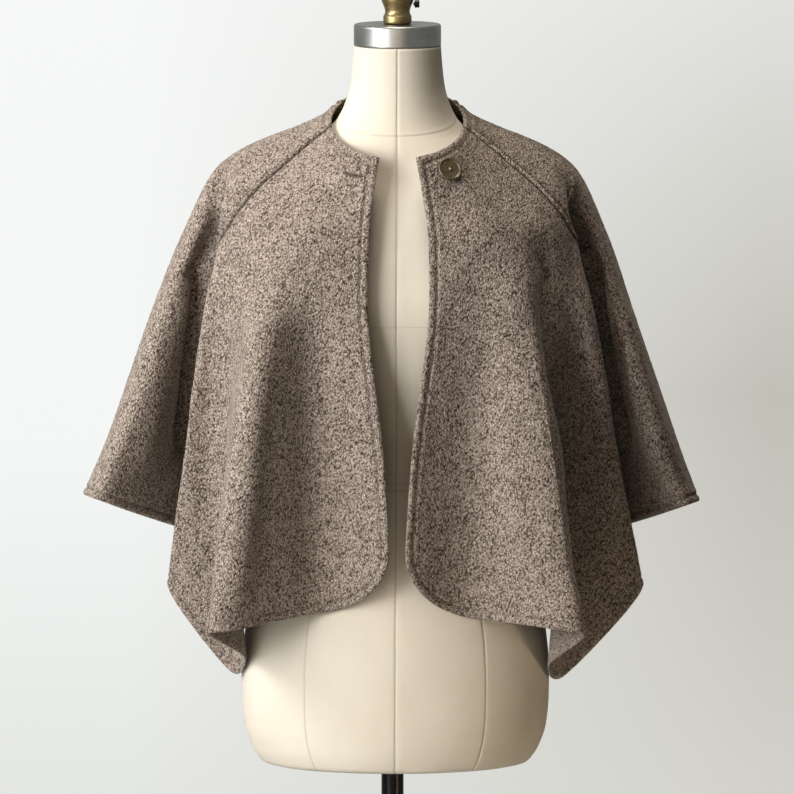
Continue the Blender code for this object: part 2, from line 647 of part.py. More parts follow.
def build():
    clear_scene()
    parts = new_collection(COLLECTION_NAME)
    cutters = new_collection(CUTTER_COLLECTION_NAME)

    wool = {name: material("wool_" + name, (0.235, 0.190, 0.155), 0.95)
            for name in ("front_right", "front_left", "back", "sleeve_right", "sleeve_left")}
    horn = material("button_horn", (0.105, 0.082, 0.052), 0.38)
    linen = material("form_linen", (0.78, 0.72, 0.60), 0.85)
    steel = material("cap_brushed", (0.55, 0.55, 0.54), 0.35, 1.0)
    brass = material("finial_brass", (0.45, 0.33, 0.16), 0.35, 1.0)
    black = material("stand_black", (0.012, 0.012, 0.012), 0.35)
    black_screw = material("screw_black", (0.015, 0.015, 0.015), 0.40)
    black_pole = material("pole_black", (0.010, 0.010, 0.010), 0.30)

    front = add_panel("front_right", "front", -1, wool["front_right"], parts)
    add_slit(front, cutters)
    add_panel("front_left", "front", 1, wool["front_left"], parts)
    add_panel("sleeve_right", "sleeve", -1, wool["sleeve_right"], parts)
    add_panel("sleeve_left", "sleeve", 1, wool["sleeve_left"], parts)
    add_panel("back", "back", 0, wool["back"], parts)
    add_button(horn, parts, cutters)
    add_form(linen, parts)

    spun("neck_cap", [(r, CAP_BOTTOM + z) for r, z in CAP_PROFILE], steel, parts, x=AXIS_X)
    spun("stand_base", BASE_PROFILE, black, parts)
    spun("stand_pole", ((0.0, POLE_FOOT), (POLE_RADIUS, POLE_FOOT), (POLE_RADIUS, POLE_TOP),
                        (0.0, POLE_TOP)), black_pole, parts, steps=POLE_STEPS, flip=True)
    spun("finial", [(r, FINIAL_FOOT + z) for r, z in FINIAL_PROFILE], brass, parts,
         steps=FINIAL_STEPS, x=AXIS_X)
    head_end = SCREW_SHANK_LENGTH + SCREW_HEAD_LENGTH
    screw = spun("thumb_screw", ((0.0, 0.0), (SCREW_SHANK_RADIUS, 0.0),
                                 (SCREW_SHANK_RADIUS, SCREW_SHANK_LENGTH),
                                 (SCREW_HEAD_RADIUS - SCREW_EDGE, SCREW_SHANK_LENGTH),
                                 (SCREW_HEAD_RADIUS, SCREW_SHANK_LENGTH + SCREW_EDGE),
                                 (SCREW_HEAD_RADIUS, head_end - SCREW_EDGE),
                                 (SCREW_HEAD_RADIUS - SCREW_EDGE, head_end), (0.0, head_end)),
                 black_screw, parts, steps=SCREW_STEPS)
    screw.location = (AXIS_X + SCREW_START, 0.0, SCREW_Z)
    screw.rotation_euler.y = math.radians(90)


build()
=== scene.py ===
import math

import bmesh
import bpy
import numpy as np
from mathutils import Matrix, Vector, kdtree


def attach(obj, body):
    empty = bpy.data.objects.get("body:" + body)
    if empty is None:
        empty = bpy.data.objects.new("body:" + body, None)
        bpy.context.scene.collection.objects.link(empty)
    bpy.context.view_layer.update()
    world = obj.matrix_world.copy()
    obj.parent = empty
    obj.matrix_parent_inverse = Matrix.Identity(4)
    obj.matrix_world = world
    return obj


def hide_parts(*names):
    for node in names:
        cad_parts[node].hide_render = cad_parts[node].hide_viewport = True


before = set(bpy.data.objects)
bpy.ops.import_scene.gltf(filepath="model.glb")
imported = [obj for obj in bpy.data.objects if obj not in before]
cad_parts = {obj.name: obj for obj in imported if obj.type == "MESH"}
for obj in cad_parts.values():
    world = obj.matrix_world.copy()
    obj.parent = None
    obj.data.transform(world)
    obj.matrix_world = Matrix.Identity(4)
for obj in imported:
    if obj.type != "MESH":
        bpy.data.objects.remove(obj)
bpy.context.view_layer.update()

# ------------------------
# Stand base
# A round cast foot, flat below and softly domed above, with a turned collar that takes the
# pole. It is sprayed in satin black, and a little dust lies on the dome.
# ------------------------
FOOT_PROFILE = (
    # radius, height
    (0.0, 0.0), (0.1995, 0.0), (0.1998, 0.0118), (0.1955, 0.0160), (0.130, 0.0215),
    (0.060, 0.0258), (0.028, 0.0272), (0.0238, 0.0300), (0.0232, 0.0400), (0.0222, 0.0560),
    (0.0, 0.0560),
)
FOOT_EDGE, FOOT_STEPS, FOOT_GLOSS = 0.0016, 160, 0.30
MOST_OF_SIDE = 0.45
BLACK = (0.0035, 0.0036, 0.0035)
BLACK_DUSTY = (0.007, 0.007, 0.0065)
DUST_A_METRE, DUST_DULLS = 35.0, 0.16
PEEL_A_METRE, PEEL_BUMP = 900.0, (0.12, 0.0003)


def rounded(profile, radius, steps=4):
    """The profile with each corner rounded off."""
    points = [np.array(p, float) for p in profile]
    shape = [points[0]]
    for before, corner, after in zip(points, points[1:], points[2:]):
        back, ahead = before - corner, after - corner
        long_back, long_ahead = np.linalg.norm(back), np.linalg.norm(ahead)
        reach = min(radius, MOST_OF_SIDE * long_back, MOST_OF_SIDE * long_ahead)
        start, end = corner + back / long_back * reach, corner + ahead / long_ahead * reach
        for f in np.linspace(0.0, 1.0, steps + 1):
            shape.append((1 - f) ** 2 * start + 2 * f * (1 - f) * corner + f * f * end)
    shape.append(points[-1])
    return shape


def add_object(name, data):
    """An object in the scene with this mesh, lamp or camera."""
    thing = bpy.data.objects.new(name, data)
    bpy.context.scene.collection.objects.link(thing)
    return thing


def add_piece(name, vertices, faces, look):
    """A smooth-shaded piece that rides on the stand."""
    mesh = bpy.data.meshes.new(name)
    mesh.from_pydata(np.asarray(vertices).tolist(), [], faces)
    mesh.shade_smooth()
    mesh.materials.append(look)
    piece = add_object(name, mesh)
    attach(piece, "root")
    return piece


def turned(name, profile, look, steps, x=0.0, place=None):
    """A piece turned on a lathe from a profile that starts and ends on the axis."""
    angles = np.arange(steps) * math.tau / steps
    vertices = [(x, 0.0, profile[0][1])]
    for radius, z in profile[1:-1]:
        vertices += [(x + radius * math.cos(a), radius * math.sin(a), z) for a in angles]
    vertices.append((x, 0.0, profile[-1][1]))
    if place is not None:
        vertices = [place @ Vector(v) for v in vertices]
    top = len(vertices) - 1
    faces = []
    for j in range(steps):
        k = (j + 1) % steps
        faces.append((0, 1 + k, 1 + j))
        for low in range(1, top - steps, steps):
            faces.append((low + j, low + k, low + steps + k, low + steps + j))
        faces.append((top - steps + j, top - steps + k, top))
    piece = add_piece(name, vertices, faces, look)
    shade_evenly(piece)
    return piece


def shade_evenly(piece):
    piece.modifiers.new("Even_shading", "WEIGHTED_NORMAL").keep_sharp = True


def new_look(name):
    look = bpy.data.materials.new(name)
    look.use_nodes = True
    return look, look.node_tree, look.node_tree.nodes["Principled BSDF"]


def fill(tree, socket, value):
    """Links a socket to another one, or sets it to a plain value."""
    if isinstance(value, bpy.types.NodeSocket):
        tree.links.new(value, socket)
    else:
        socket.default_value = (*value, 1.0) if socket.type == "RGBA" else value


def put(tree, node, **inputs):
    """Fills a node's inputs by name; in the names _ stands for a space."""
    for name, value in inputs.items():
        fill(tree, node.inputs[name.replace("_", " ")], value)


def add_node(tree, kind, output, **inputs):
    """An output of a new node with these inputs."""
    node = tree.nodes.new("ShaderNode" + kind)
    put(tree, node, **inputs)
    return node.outputs[output]


def coordinates(tree, kind="Object"):
    return add_node(tree, "TexCoord", kind)


def stretched(tree, at, scale, turn=0.0):
    """Coordinates turned about Y and then scaled."""
    at = add_node(tree, "Mapping", "Vector", Vector=at, Rotation=(0.0, math.radians(turn), 0.0))
    return add_node(tree, "Mapping", "Vector", Vector=at, Scale=scale)


def noise(tree, at, scale, detail=2.0, roughness=0.5, distortion=0.0, output="Fac"):
    return add_node(tree, "TexNoise", output, Vector=at, Scale=scale, Detail=detail,
                    Roughness=roughness, Distortion=distortion)


def ramp(tree, fac, *stops):
    """Colours along a value: each stop is a position and a colour, or a plain number for a grey."""
    node = tree.nodes.new("ShaderNodeValToRGB")
    elements = node.color_ramp.elements
    for i, (position, colour) in enumerate(stops):
        element = elements[i] if i < 2 else elements.new(position)
        element.position = position
        element.color = (*colour, 1.0) if isinstance(colour, tuple) else (colour, colour, colour, 1.0)
    put(tree, node, Fac=fac)
    return node.outputs["Color"]


def joined(tree, kind, settings, *values):
    """The output of a new node with these settings and, in their order, these inputs."""
    node = tree.nodes.new("ShaderNode" + kind)
    for name, value in settings.items():
        setattr(node, name, value)
    for socket, value in zip([s for s in node.inputs if s.enabled], values):
        fill(tree, socket, value)
    return next(s for s in node.outputs if s.enabled)


def maths(tree, operation, *values):
    return joined(tree, "Math", {"operation": operation}, *values)


def mixed(tree, fac, first, second, blend="MIX"):
    return joined(tree, "Mix", {"data_type": "RGBA", "blend_type": blend}, fac, first, second)


def bumped(tree, height, strength, distance, **normal):
    return add_node(tree, "Bump", "Normal", Height=height, Strength=strength, Distance=distance, **normal)


def black_paint(name, gloss):
    """Sprayed black: fine orange peel, slightly uneven gloss, paler where dust lies."""
    look, tree, shader = new_look(name)
    at = coordinates(tree)
    dust = noise(tree, at, DUST_A_METRE, 3.0, 0.6)
    put(tree, shader, Base_Color=ramp(tree, dust, (0.35, BLACK), (0.80, BLACK_DUSTY)),
        Roughness=ramp(tree, dust, (0.3, gloss), (0.8, gloss + DUST_DULLS)), Specular_IOR_Level=0.20,
        Normal=bumped(tree, noise(tree, at, PEEL_A_METRE, 1.0), *PEEL_BUMP))
    return look


foot = turned("foot_casting", rounded(FOOT_PROFILE, FOOT_EDGE), black_paint("foot_black", FOOT_GLOSS),
              FOOT_STEPS)
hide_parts("stand_base")

# ------------------------
# Pole
# A straight steel tube, sprayed in the same satin black. It stands in the foot's collar and
# runs up into the form.
# ------------------------
TUBE_RADIUS, TUBE_FOOT, TUBE_TOP = 0.0125, 0.0563, 0.7402
TUBE_EDGE, TUBE_STEPS, TUBE_GLOSS = 0.0006, 64, 0.22

tube_profile = ((0.0, TUBE_FOOT), (TUBE_RADIUS, TUBE_FOOT), (TUBE_RADIUS, TUBE_TOP), (0.0, TUBE_TOP))
tube = turned("pole_tube", rounded(tube_profile, TUBE_EDGE), black_paint("pole_black", TUBE_GLOSS),
              TUBE_STEPS)
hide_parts("stand_pole")

# ------------------------
# Dress form
# A moulded torso without limbs, covered in tight cream linen that is sewn from long gores.
# The gores meet in thin sunk seams. A seam rings the base of the neck, a faint one crosses the
# bust, and a narrow tape marks the waist.
# ------------------------
LEAN_FROM, LEAN_TO = 0.0029, 0.0056
FORM_SECTIONS = np.array((
    # z, half_width, front_depth, back_depth
    (0.7405, 0.1380, 0.1000, 0.1000),
    (0.7430, 0.1490, 0.1070, 0.1080),
    (0.7500, 0.1560, 0.1110, 0.1130),
    (0.7620, 0.1630, 0.1150, 0.1180),
    (0.7850, 0.1705, 0.1180, 0.1220),
    (0.8150, 0.1735, 0.1190, 0.1230),
    (0.8450, 0.1740, 0.1180, 0.1220),
    (0.8850, 0.1710, 0.1160, 0.1180),
    (0.9300, 0.1610, 0.1110, 0.1100),
    (0.9800, 0.1430, 0.1020, 0.0950),
    (1.0300, 0.1260, 0.0910, 0.0810),
    (1.0700, 0.1210, 0.0860, 0.0760),
    (1.1100, 0.1250, 0.0890, 0.0780),
    (1.1600, 0.1370, 0.0980, 0.0870),
    (1.2100, 0.1490, 0.1080, 0.0960),
    (1.2600, 0.1570, 0.1130, 0.1010),
    (1.3100, 0.1630, 0.1090, 0.1030),
    (1.3500, 0.1690, 0.1010, 0.1010),
    (1.3850, 0.1740, 0.0900, 0.0940),
    (1.4050, 0.1725, 0.0820, 0.0880),
    (1.4200, 0.1600, 0.0760, 0.0830),
    (1.4350, 0.1345, 0.0708, 0.0770),
    (1.4480, 0.1042, 0.0664, 0.0700),
    (1.4600, 0.0810, 0.0620, 0.0640),
    (1.4730, 0.0675, 0.0580, 0.0590),
    (1.4900, 0.0590, 0.0540, 0.0550),
    (1.5100, 0.0535, 0.0510, 0.0515),
    (1.5350, 0.0505, 0.0495, 0.0495),
    (1.5550, 0.0490, 0.0490, 0.0490),
))
BUST_X, BUST_Z, BUST_DEPTH, BUST_SPREAD_X, BUST_SPREAD_Z = 0.078, 1.265, 0.012, 0.052, 0.055
# Where the gores meet, in degrees round from the +X side; the front is at -90.
GORE_SEAMS = np.radians((-180.0, -126.0, -90.0, -54.0, 0.0, 54.0, 90.0, 126.0))
GORES_END_Z, GORES_FADE = 1.435, 0.006
NECK_SEAM_Z, NECK_SEAM_RISE, NECK_SEAM_FRONT = 1.4565, 0.29, -0.066
WAIST_TAPE_Z, WAIST_TAPE_WIDTH, WAIST_TAPE_THICK, WAIST_TAPE_EDGE = 1.0637, 0.0078, 0.0007, 0.00018
BUST_SEAM_Z = 1.2467
# Relief beside the seams: each row is a height, a distance from the seam and a width.
GORE_RELIEF = ((-0.0005, 0.0, 0.0007), (0.0002, 0.0020, 0.0012))
NECK_SEAM_RELIEF = ((-0.0004, 0.0, 0.0007), (0.0002, 0.0020, 0.0012))
BUST_SEAM_RELIEF = (-0.0003, 0.0, 0.0007)
# Painted shade in the sunk seams and along the tape's edges, as browner lines: how brown, the distance
# from the seam and a width.
GORE_SHADE, CENTRE_SHADE, GORE_SHADE_WIDTH = 0.30, 0.42, 0.0007
NECK_SEAM_SHADE = (0.25, 0.0, 0.0007)
WAIST_TAPE_SHADE = (0.35, 0.0, 0.0006)
BUST_SEAM_SHADE = (0.18, 0.0, 0.0008)
# The mesh: even steps round the form, finer ones beside each gore seam, and rings. Each row of
# rings is the height that they start at, the height that they end before and how far apart.
EVEN_STEPS, USUAL_RADIUS = 120, 0.14
BESIDE_SEAM = np.array((-0.0022, -0.0011, -0.0005, 0.0, 0.0005, 0.0011, 0.0022)) / USUAL_RADIUS
FORM_RINGS = (
    (0.7405, 0.7620, 0.0015), (0.7620, 1.5550, 0.0050), (1.4520, 1.5010, 0.0008),
    (WAIST_TAPE_Z - 0.0066, WAIST_TAPE_Z + 0.0068, 0.0006),
    (BUST_SEAM_Z - 0.0030, BUST_SEAM_Z + 0.0030, 0.0006),
)
LINEN = (0.530, 0.487, 0.410)
LINEN_PALE = (0.572, 0.534, 0.463)
LINEN_GAP, LINEN_STREAK = (0.86, 0.84, 0.80), (0.93, 0.91, 0.86)
# Brown of the painted shade in the linen's sunk seams.
LINEN_PAINTED_SEAM_SHADE = (0.200, 0.156, 0.108)
WHITE = (1.0, 1.0, 1.0)
THREADS_A_METRE, THREAD_LENGTHS_A_METRE, SLUBS_A_METRE = 5200.0, 700.0, (60.0, 60.0, 1500.0)
# How strongly the painted seam shade darkens a look.
PAINTED_SEAM_SHADE_STRENGTH = 0.85


def hermite(p0, p1, m0, m1, f):
    """A cubic curve from p0 to p1 that leaves with slope m0 and arrives with slope m1."""
    f2 = f * f
    f3 = f2 * f
    return ((2 * f3 - 3 * f2 + 1) * p0 + (f3 - 2 * f2 + f) * m0
            + (3 * f2 - 2 * f3) * p1 + (f3 - f2) * m1)


def curve_through(z, table):
    """Each column of a table as one smooth curve over its first column, without overshoot."""
    knots, values = table[:, 0], table[:, 1:]
    step = np.diff(knots)[:, None]
    slope = np.diff(values, axis=0) / step
    bend = np.zeros_like(values)
    same = slope[1:] * slope[:-1] > 0
    bend[1:-1] = np.where(same, 2 * slope[1:] * slope[:-1] / (slope[1:] + slope[:-1] + 1e-12), 0.0)
    bend[0], bend[-1] = slope[0], slope[-1]
    i = np.clip(np.searchsorted(knots, z, side="right") - 1, 0, len(knots) - 2)
    f = ((z - knots[i]) / step[i, 0])[:, None]
    return hermite(values[i], values[i + 1], bend[i] * step[i], bend[i + 1] * step[i], f)


def unit(vectors):
    """The vectors at length one."""
    return vectors / np.maximum(np.linalg.norm(vectors, axis=-1, keepdims=True), 1e-12)


def fading(value):
    """1 well below zero and 0 well above it."""
    return 0.5 - 0.5 * np.tanh(0.5 * value)


def bell(distance, width):
    return np.exp(-(distance / width) ** 2)


def ridges(distance, *rows):
    """Ridges and grooves beside a line; a row is a height, a distance from the line and a width."""
    return sum(height * bell(distance - away, width) for height, away, width in rows)


def form_surface():
    """The torso's rings of points, with the seams sunk in, and how much painted shade browns each point.
    """
    angles = np.concatenate([np.linspace(-math.pi, math.pi, EVEN_STEPS, endpoint=False),
                             (GORE_SEAMS[:, None] + BESIDE_SEAM).ravel()])
    angles = np.unique(np.round((angles + math.pi) % math.tau - math.pi, 5))
    heights = np.concatenate([FORM_SECTIONS[:, 0], *(np.arange(*ring) for ring in FORM_RINGS)])
    heights = np.unique(np.round(heights, 5))
    angle, z = np.meshgrid(angles, heights)
    section = curve_through(heights, FORM_SECTIONS)
    half_width, front_depth, back_depth = (column[:, None] for column in section.T)
    depth = np.where(np.sin(angle) > 0, back_depth, front_depth)
    x, y = half_width * np.cos(angle), depth * np.sin(angle)
    from_bust = ((np.abs(x) - BUST_X) / BUST_SPREAD_X) ** 2 + ((z - BUST_Z) / BUST_SPREAD_Z) ** 2
    y -= BUST_DEPTH * np.exp(-from_bust) * np.clip(-2.0 * np.sin(angle), 0.0, 1.0)

    turn_to_seam = np.abs((angle[..., None] - GORE_SEAMS + math.pi) % math.tau - math.pi)
    from_gore = turn_to_seam * np.hypot(x, y)[..., None]
    is_centre = np.abs(np.cos(GORE_SEAMS)) < 0.1
    reach = np.where(is_centre, 1.0, fading((z[..., None] - GORES_END_Z) / GORES_FADE))
    from_neck_seam = z - NECK_SEAM_Z - NECK_SEAM_RISE * (y - NECK_SEAM_FRONT)
    off_tape = np.abs(z - WAIST_TAPE_Z) - 0.5 * WAIST_TAPE_WIDTH
    relief = ((reach * ridges(from_gore, *GORE_RELIEF)).sum(-1)
              + ridges(from_neck_seam, *NECK_SEAM_RELIEF) + ridges(z - BUST_SEAM_Z, BUST_SEAM_RELIEF)
              + WAIST_TAPE_THICK * fading(off_tape / WAIST_TAPE_EDGE))
    # Painted shade in the sunk gore, neck and bust seams and along the tape's edges.
    gore_shade = np.where(is_centre, CENTRE_SHADE, GORE_SHADE) * bell(from_gore, GORE_SHADE_WIDTH)
    shade = ((reach * gore_shade).sum(-1) + ridges(from_neck_seam, NECK_SEAM_SHADE)
             + ridges(off_tape, WAIST_TAPE_SHADE) + ridges(z - BUST_SEAM_Z, BUST_SEAM_SHADE))

    outward = unit(np.stack((x / half_width ** 2, y / depth ** 2), -1))
    lean = LEAN_FROM + (LEAN_TO - LEAN_FROM) * (z - heights[0]) / (heights[-1] - heights[0])
    surface = np.stack((x + relief * outward[..., 0] + lean, y + relief * outward[..., 1], z), -1)
    return surface, np.clip(shade, 0.0, 1.0)


def with_painted_seam_shade(tree, base, colour):
    """The base colour, darkened with painted shade where the mesh says that a sunk seam or groove runs."""
    seam = tree.nodes.new("ShaderNodeAttribute")
    seam.attribute_name = "seam"
    return mixed(tree, maths(tree, "MULTIPLY", seam.outputs["Fac"], PAINTED_SEAM_SHADE_STRENGTH), base, colour)


def linen_look():
    """Fine plain-woven linen with slubs, with painted shade browning its sunk seams."""
    look, tree, shader = new_look("form_linen")
    at = coordinates(tree)
    fine, long = THREADS_A_METRE, THREAD_LENGTHS_A_METRE
    weave = maths(tree, "MAXIMUM", noise(tree, stretched(tree, at, (long, long, fine)), 1.0),
                  noise(tree, stretched(tree, at, (fine, fine, long)), 1.0))
    slubs = noise(tree, stretched(tree, at, SLUBS_A_METRE), 1.0, 3.0, 0.7)
    stains = noise(tree, at, 9.0, 3.0, 0.55)
    base = ramp(tree, stains, (0.30, LINEN), (0.70, LINEN_PALE))
    threads = ramp(tree, weave, (0.35, LINEN_GAP), (0.65, WHITE))
    base = mixed(tree, 0.55, base, threads, "MULTIPLY")
    streaks = ramp(tree, slubs, (0.62, WHITE), (0.74, LINEN_STREAK))
    base = mixed(tree, 0.8, base, streaks, "MULTIPLY")
    put(tree, shader, Base_Color=with_painted_seam_shade(tree, base, LINEN_PAINTED_SEAM_SHADE), Roughness=0.82,
        Sheen_Weight=0.12, Normal=bumped(tree, weave, 0.25, 0.0003))
    return look


def store_painted_seam_shade(piece, shade):
    """Gives the piece's mesh the painted seam shade that its look reads."""
    piece.data.attributes.new("seam", "FLOAT", "POINT").data.foreach_set("value", shade.ravel())


surface, shade = form_surface()
rings, around = surface.shape[:2]
faces = [tuple(range(around - 1, -1, -1)), tuple((rings - 1) * around + j for j in range(around))]
for low in range(0, (rings - 1) * around, around):
    for j in range(around):
        k = (j + 1) % around
        faces.append((low + j, low + k, low + around + k, low + around + j))
torso = add_piece("linen_torso", surface.reshape(-1, 3), faces, linen_look())
store_painted_seam_shade(torso, shade)
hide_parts("dress_form")

# ------------------------
# Neck cap
# A spun metal disc that sits on the linen and closes the top of the neck. It is brushed round
# and round and left bare.
# ------------------------
CAP_X = 0.0056
CAP_PROFILE = ((0.0, 1.5553), (0.0487, 1.5553), (0.0492, 1.5570), (0.0492, 1.5776),
               (0.0481, 1.5795), (0.0, 1.5795))
CAP_EDGE, CAP_STEPS = 0.0010, 128
CAP_METAL, CAP_METAL_DULL, CAP_ROUGHNESS = (0.36, 0.36, 0.35), (0.25, 0.246, 0.236), 0.34
CAP_MARKS_A_METRE = (40.0, 40.0, 3500.0)
WEAR_A_METRE, MARKS_BUMP = 45.0, (0.10, 0.0002)


def brushed_metal(name, pale, dull, roughness, marks_a_metre):
    """Bare metal with fine brush marks and worn, duller patches."""
    look, tree, shader = new_look(name)
    at = coordinates(tree)
    marks = noise(tree, stretched(tree, at, marks_a_metre), 1.0, 3.0, 0.6)
    wear = noise(tree, at, WEAR_A_METRE, 3.0, 0.6)
    base = mixed(tree, 0.5, ramp(tree, wear, (0.35, dull), (0.65, pale)),
                 ramp(tree, marks, (0.3, dull), (0.7, pale)))
    uneven = ramp(tree, marks, (0.3, roughness - 0.06), (0.7, roughness + 0.10))
    put(tree, shader, Base_Color=base, Metallic=1.0, Roughness=uneven,
        Normal=bumped(tree, marks, *MARKS_BUMP))
    return look


cap_look = brushed_metal("cap_brushed", CAP_METAL, CAP_METAL_DULL, CAP_ROUGHNESS, CAP_MARKS_A_METRE)
cap = turned("cap_disc", rounded(CAP_PROFILE, CAP_EDGE), cap_look, CAP_STEPS, CAP_X)
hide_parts("neck_cap")

# ------------------------
# Finial and thumb screw
# A small turned brass knob, aged brown in its hollows, clamps the form's rod. A black screw
# holds it from the side.
# ------------------------
FINIAL_PROFILE = ((0.0, 1.5798), (0.0159, 1.5798), (0.0160, 1.5885), (0.0147, 1.5902),
                  (0.0136, 1.5938), (0.0150, 1.5988), (0.0184, 1.6068), (0.0195, 1.6158),
                  (0.0175, 1.6258), (0.0120, 1.6348), (0.0055, 1.6393), (0.0, 1.6403))
FINIAL_EDGE, FINIAL_STEPS = 0.0030, 96
BRASS, BRASS_AGED, BRASS_ROUGHNESS = (0.36, 0.29, 0.155), (0.13, 0.095, 0.045), 0.40
BRASS_MARKS_A_METRE = (60.0, 60.0, 1800.0)
SCREW_FROM, SCREW_Z = 0.0180, 1.6022
SCREW_PROFILE = ((0.0, 0.0), (0.0016, 0.0), (0.0016, 0.0012), (0.0036, 0.0012), (0.0042, 0.0018),
                 (0.0042, 0.0062), (0.0036, 0.0068), (0.0, 0.0068))
SCREW_EDGE, SCREW_STEPS, SCREW_GLOSS = 0.0004, 48, 0.35

brass = brushed_metal("finial_brass", BRASS, BRASS_AGED, BRASS_ROUGHNESS, BRASS_MARKS_A_METRE)
knob = turned("finial_knob", rounded(FINIAL_PROFILE, FINIAL_EDGE), brass, FINIAL_STEPS, CAP_X)
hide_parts("finial")

lie_along_x = Matrix.Translation((CAP_X + SCREW_FROM, 0.0, SCREW_Z)) @ Matrix.Rotation(
    math.radians(90), 4, "Y")
screw = turned("clamp_screw", rounded(SCREW_PROFILE, SCREW_EDGE, 2),
               black_paint("screw_black", SCREW_GLOSS), SCREW_STEPS, place=lie_along_x)
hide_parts("thumb_screw")

# ------------------------
# The jacket's back
# One piece of thick felted boucle wool, cut from neck to hem. Its raglan edges are sewn to the
# sleeves, its sides to the fronts, and its hem and neck are turned and topstitched.
# All panels lie on the same fold lines, so the whole jacket's fall is given here.
# ------------------------
WALL = 0.003
JACKET_X = 0.0056
NECK_HALF_WIDTH, NECK_CENTRE_Y, NECK_HALF_DEPTH = 0.075, -0.019, 0.081
NECK_MID_Z, NECK_RISE = 1.4715, 0.0355
# Distances from the neckline down the cloth: neck, shoulder, yoke, underarm, waist, hem.
STATIONS = np.array((0.0, 0.13, 0.20, 0.29, 0.445, 0.62))
UNDERARM_T, HEM_T, PARTING_T = 0.29, 0.62, 0.245
YOKE_Z, CHEST_Z, WAIST_Z, ELBOW_Z = 1.345, 1.255, 1.10, 1.13
UPPER_FOLDS = (
    # name, soft, degrees round the neck, shoulder x y z, yoke x y
    ("front_edge", 1.0, 16.3, 0.0275, -0.112, 1.392, 0.0318, -0.124),
    ("front_trough", 1.0, 34.0, 0.083, -0.102, 1.386, 0.095, -0.120),
    ("front_crest", 1.0, 50.0, 0.113, -0.091, 1.385, 0.130, -0.109),
    ("front_flute", 0.9, 64.0, 0.138, -0.078, 1.386, 0.160, -0.091),
    ("front_valley", 0.9, 79.0, 0.163, -0.060, 1.392, 0.181, -0.072),
    ("side_tip", 1.0, 84.5, 0.180, -0.043, 1.401, 0.191, -0.060),
    ("shoulder_fold", 0.9, 89.0, 0.195, -0.024, 1.410, 0.200, -0.046),
    ("front_underarm", 1.0, 95.0, 0.196, -0.010, 1.418, 0.203, -0.020),
    ("sleeve_front", 1.0, 99.0, 0.1965, 0.000, 1.422, 0.230, -0.018),
    ("overarm", 1.0, 103.0, 0.1965, 0.011, 1.4245, 0.2417, 0.012),
    ("sleeve_back", 1.0, 108.0, 0.196, 0.024, 1.421, 0.228, 0.040),
    ("back_underarm", 1.0, 112.0, 0.195, 0.036, 1.415, 0.205, 0.055),
    ("blade_fold", 1.0, 118.0, 0.186, 0.054, 1.403, 0.198, 0.078),
    ("back_trough", 1.0, 128.0, 0.150, 0.080, 1.400, 0.162, 0.096),
    ("back_flute", 1.0, 152.0, 0.085, 0.096, 1.408, 0.092, 0.110),
    ("centre_back", 1.0, 180.0, 0.000, 0.093, 1.420, 0.000, 0.112),
)
LOWER_FOLDS = (
    # the same folds: chest x y, waist x y, hem x y z
    (0.0325, -0.134, 0.0157, -0.140, 0.007, -0.146, 0.930),
    (0.092, -0.125, 0.088, -0.117, 0.085, -0.107, 0.9236),
    (0.138, -0.132, 0.166, -0.154, 0.184, -0.160, 0.910),
    (0.166, -0.119, 0.190, -0.140, 0.212, -0.146, 0.9041),
    (0.187, -0.086, 0.188, -0.076, 0.1740, -0.060, 0.868),
    (0.203, -0.073, 0.210, -0.052, 0.191, -0.012, 0.8470),
    (0.219, -0.058, 0.240, -0.045, 0.2605, 0.000, 0.942),
    (0.196, 0.010, 0.186, 0.033, 0.196, 0.052, 0.930),
    (0.260, -0.028, 0.297, -0.032, 0.332, -0.026, 1.0404),
    (0.2775, 0.014, 0.3205, 0.020, 0.355, 0.034, 1.0427),
    (0.250, 0.053, 0.288, 0.084, 0.314, 0.110, 1.018),
    (0.196, 0.010, 0.186, 0.033, 0.196, 0.052, 0.930),
    (0.200, 0.086, 0.198, 0.094, 0.218, 0.102, 0.932),
    (0.164, 0.106, 0.162, 0.112, 0.166, 0.118, 0.925),
    (0.098, 0.126, 0.104, 0.138, 0.114, 0.160, 0.918),
    (0.000, 0.118, 0.000, 0.119, 0.000, 0.136, 0.915),
)
NO_SHIFT = (0.0, 0.0, 0.0, 0.0, 0.0)
LEFT_SHIFTS = {
    # name: yoke_dx, chest_dx, waist_dx, hem_dx, hem_dz
    "front_edge": (0.003, 0.002, 0.0005, -0.001, -0.002),
    "front_trough": (0.002, 0.002, 0.0, 0.0, -0.006),
    "front_flute": (0.006, 0.000, -0.004, -0.002, -0.003),
    "front_valley": (0.004, 0.000, 0.000, -0.001, -0.008),
    "side_tip": (0.002, 0.001, 0.002, 0.000, -0.005),
    "shoulder_fold": (0.001, 0.003, 0.008, 0.018, 0.000),
    "sleeve_front": (-0.006, -0.011, -0.012, -0.013, -0.006),
    "overarm": (-0.006, -0.011, -0.012, -0.0135, -0.008),
    "sleeve_back": (-0.006, -0.011, -0.012, -0.013, -0.006),
}
FOLDS = [row[0] for row in UPPER_FOLDS]
SOFTNESS = np.array([row[1] for row in UPPER_FOLDS])[:, None]
FRONT_UNDERARM, BACK_UNDERARM = FOLDS.index("front_underarm"), FOLDS.index("back_underarm")
SLEEVE_UNDERARM = ((0.1972, 0.0105, CHEST_Z), (0.216, 0.062, ELBOW_Z), (0.224, 0.086, 0.9913))
SEAM_COURSE = np.array((
    # distance down the cloth, front seam, back seam, as positions round the fold lines
    (0.0, 4.55, 12.8), (0.030, 4.30, 12.9), (0.070, 4.02, 13.0), (0.13, 4.00, 13.0),
    (0.150, 4.06, 12.9), (0.165, 4.24, 12.7), (0.180, 4.64, 12.4), (0.190, 5.08, 12.1),
    (0.20, 5.56, 11.8), (0.210, 6.05, 11.5), (0.222, 6.50, 11.3), (0.235, 6.88, 11.1),
    (0.245, 7.00, 11.0), (0.29, 7.00, 11.0),
))
CORNER_WIDTH, CORNER_LENGTH = 0.15, 0.115
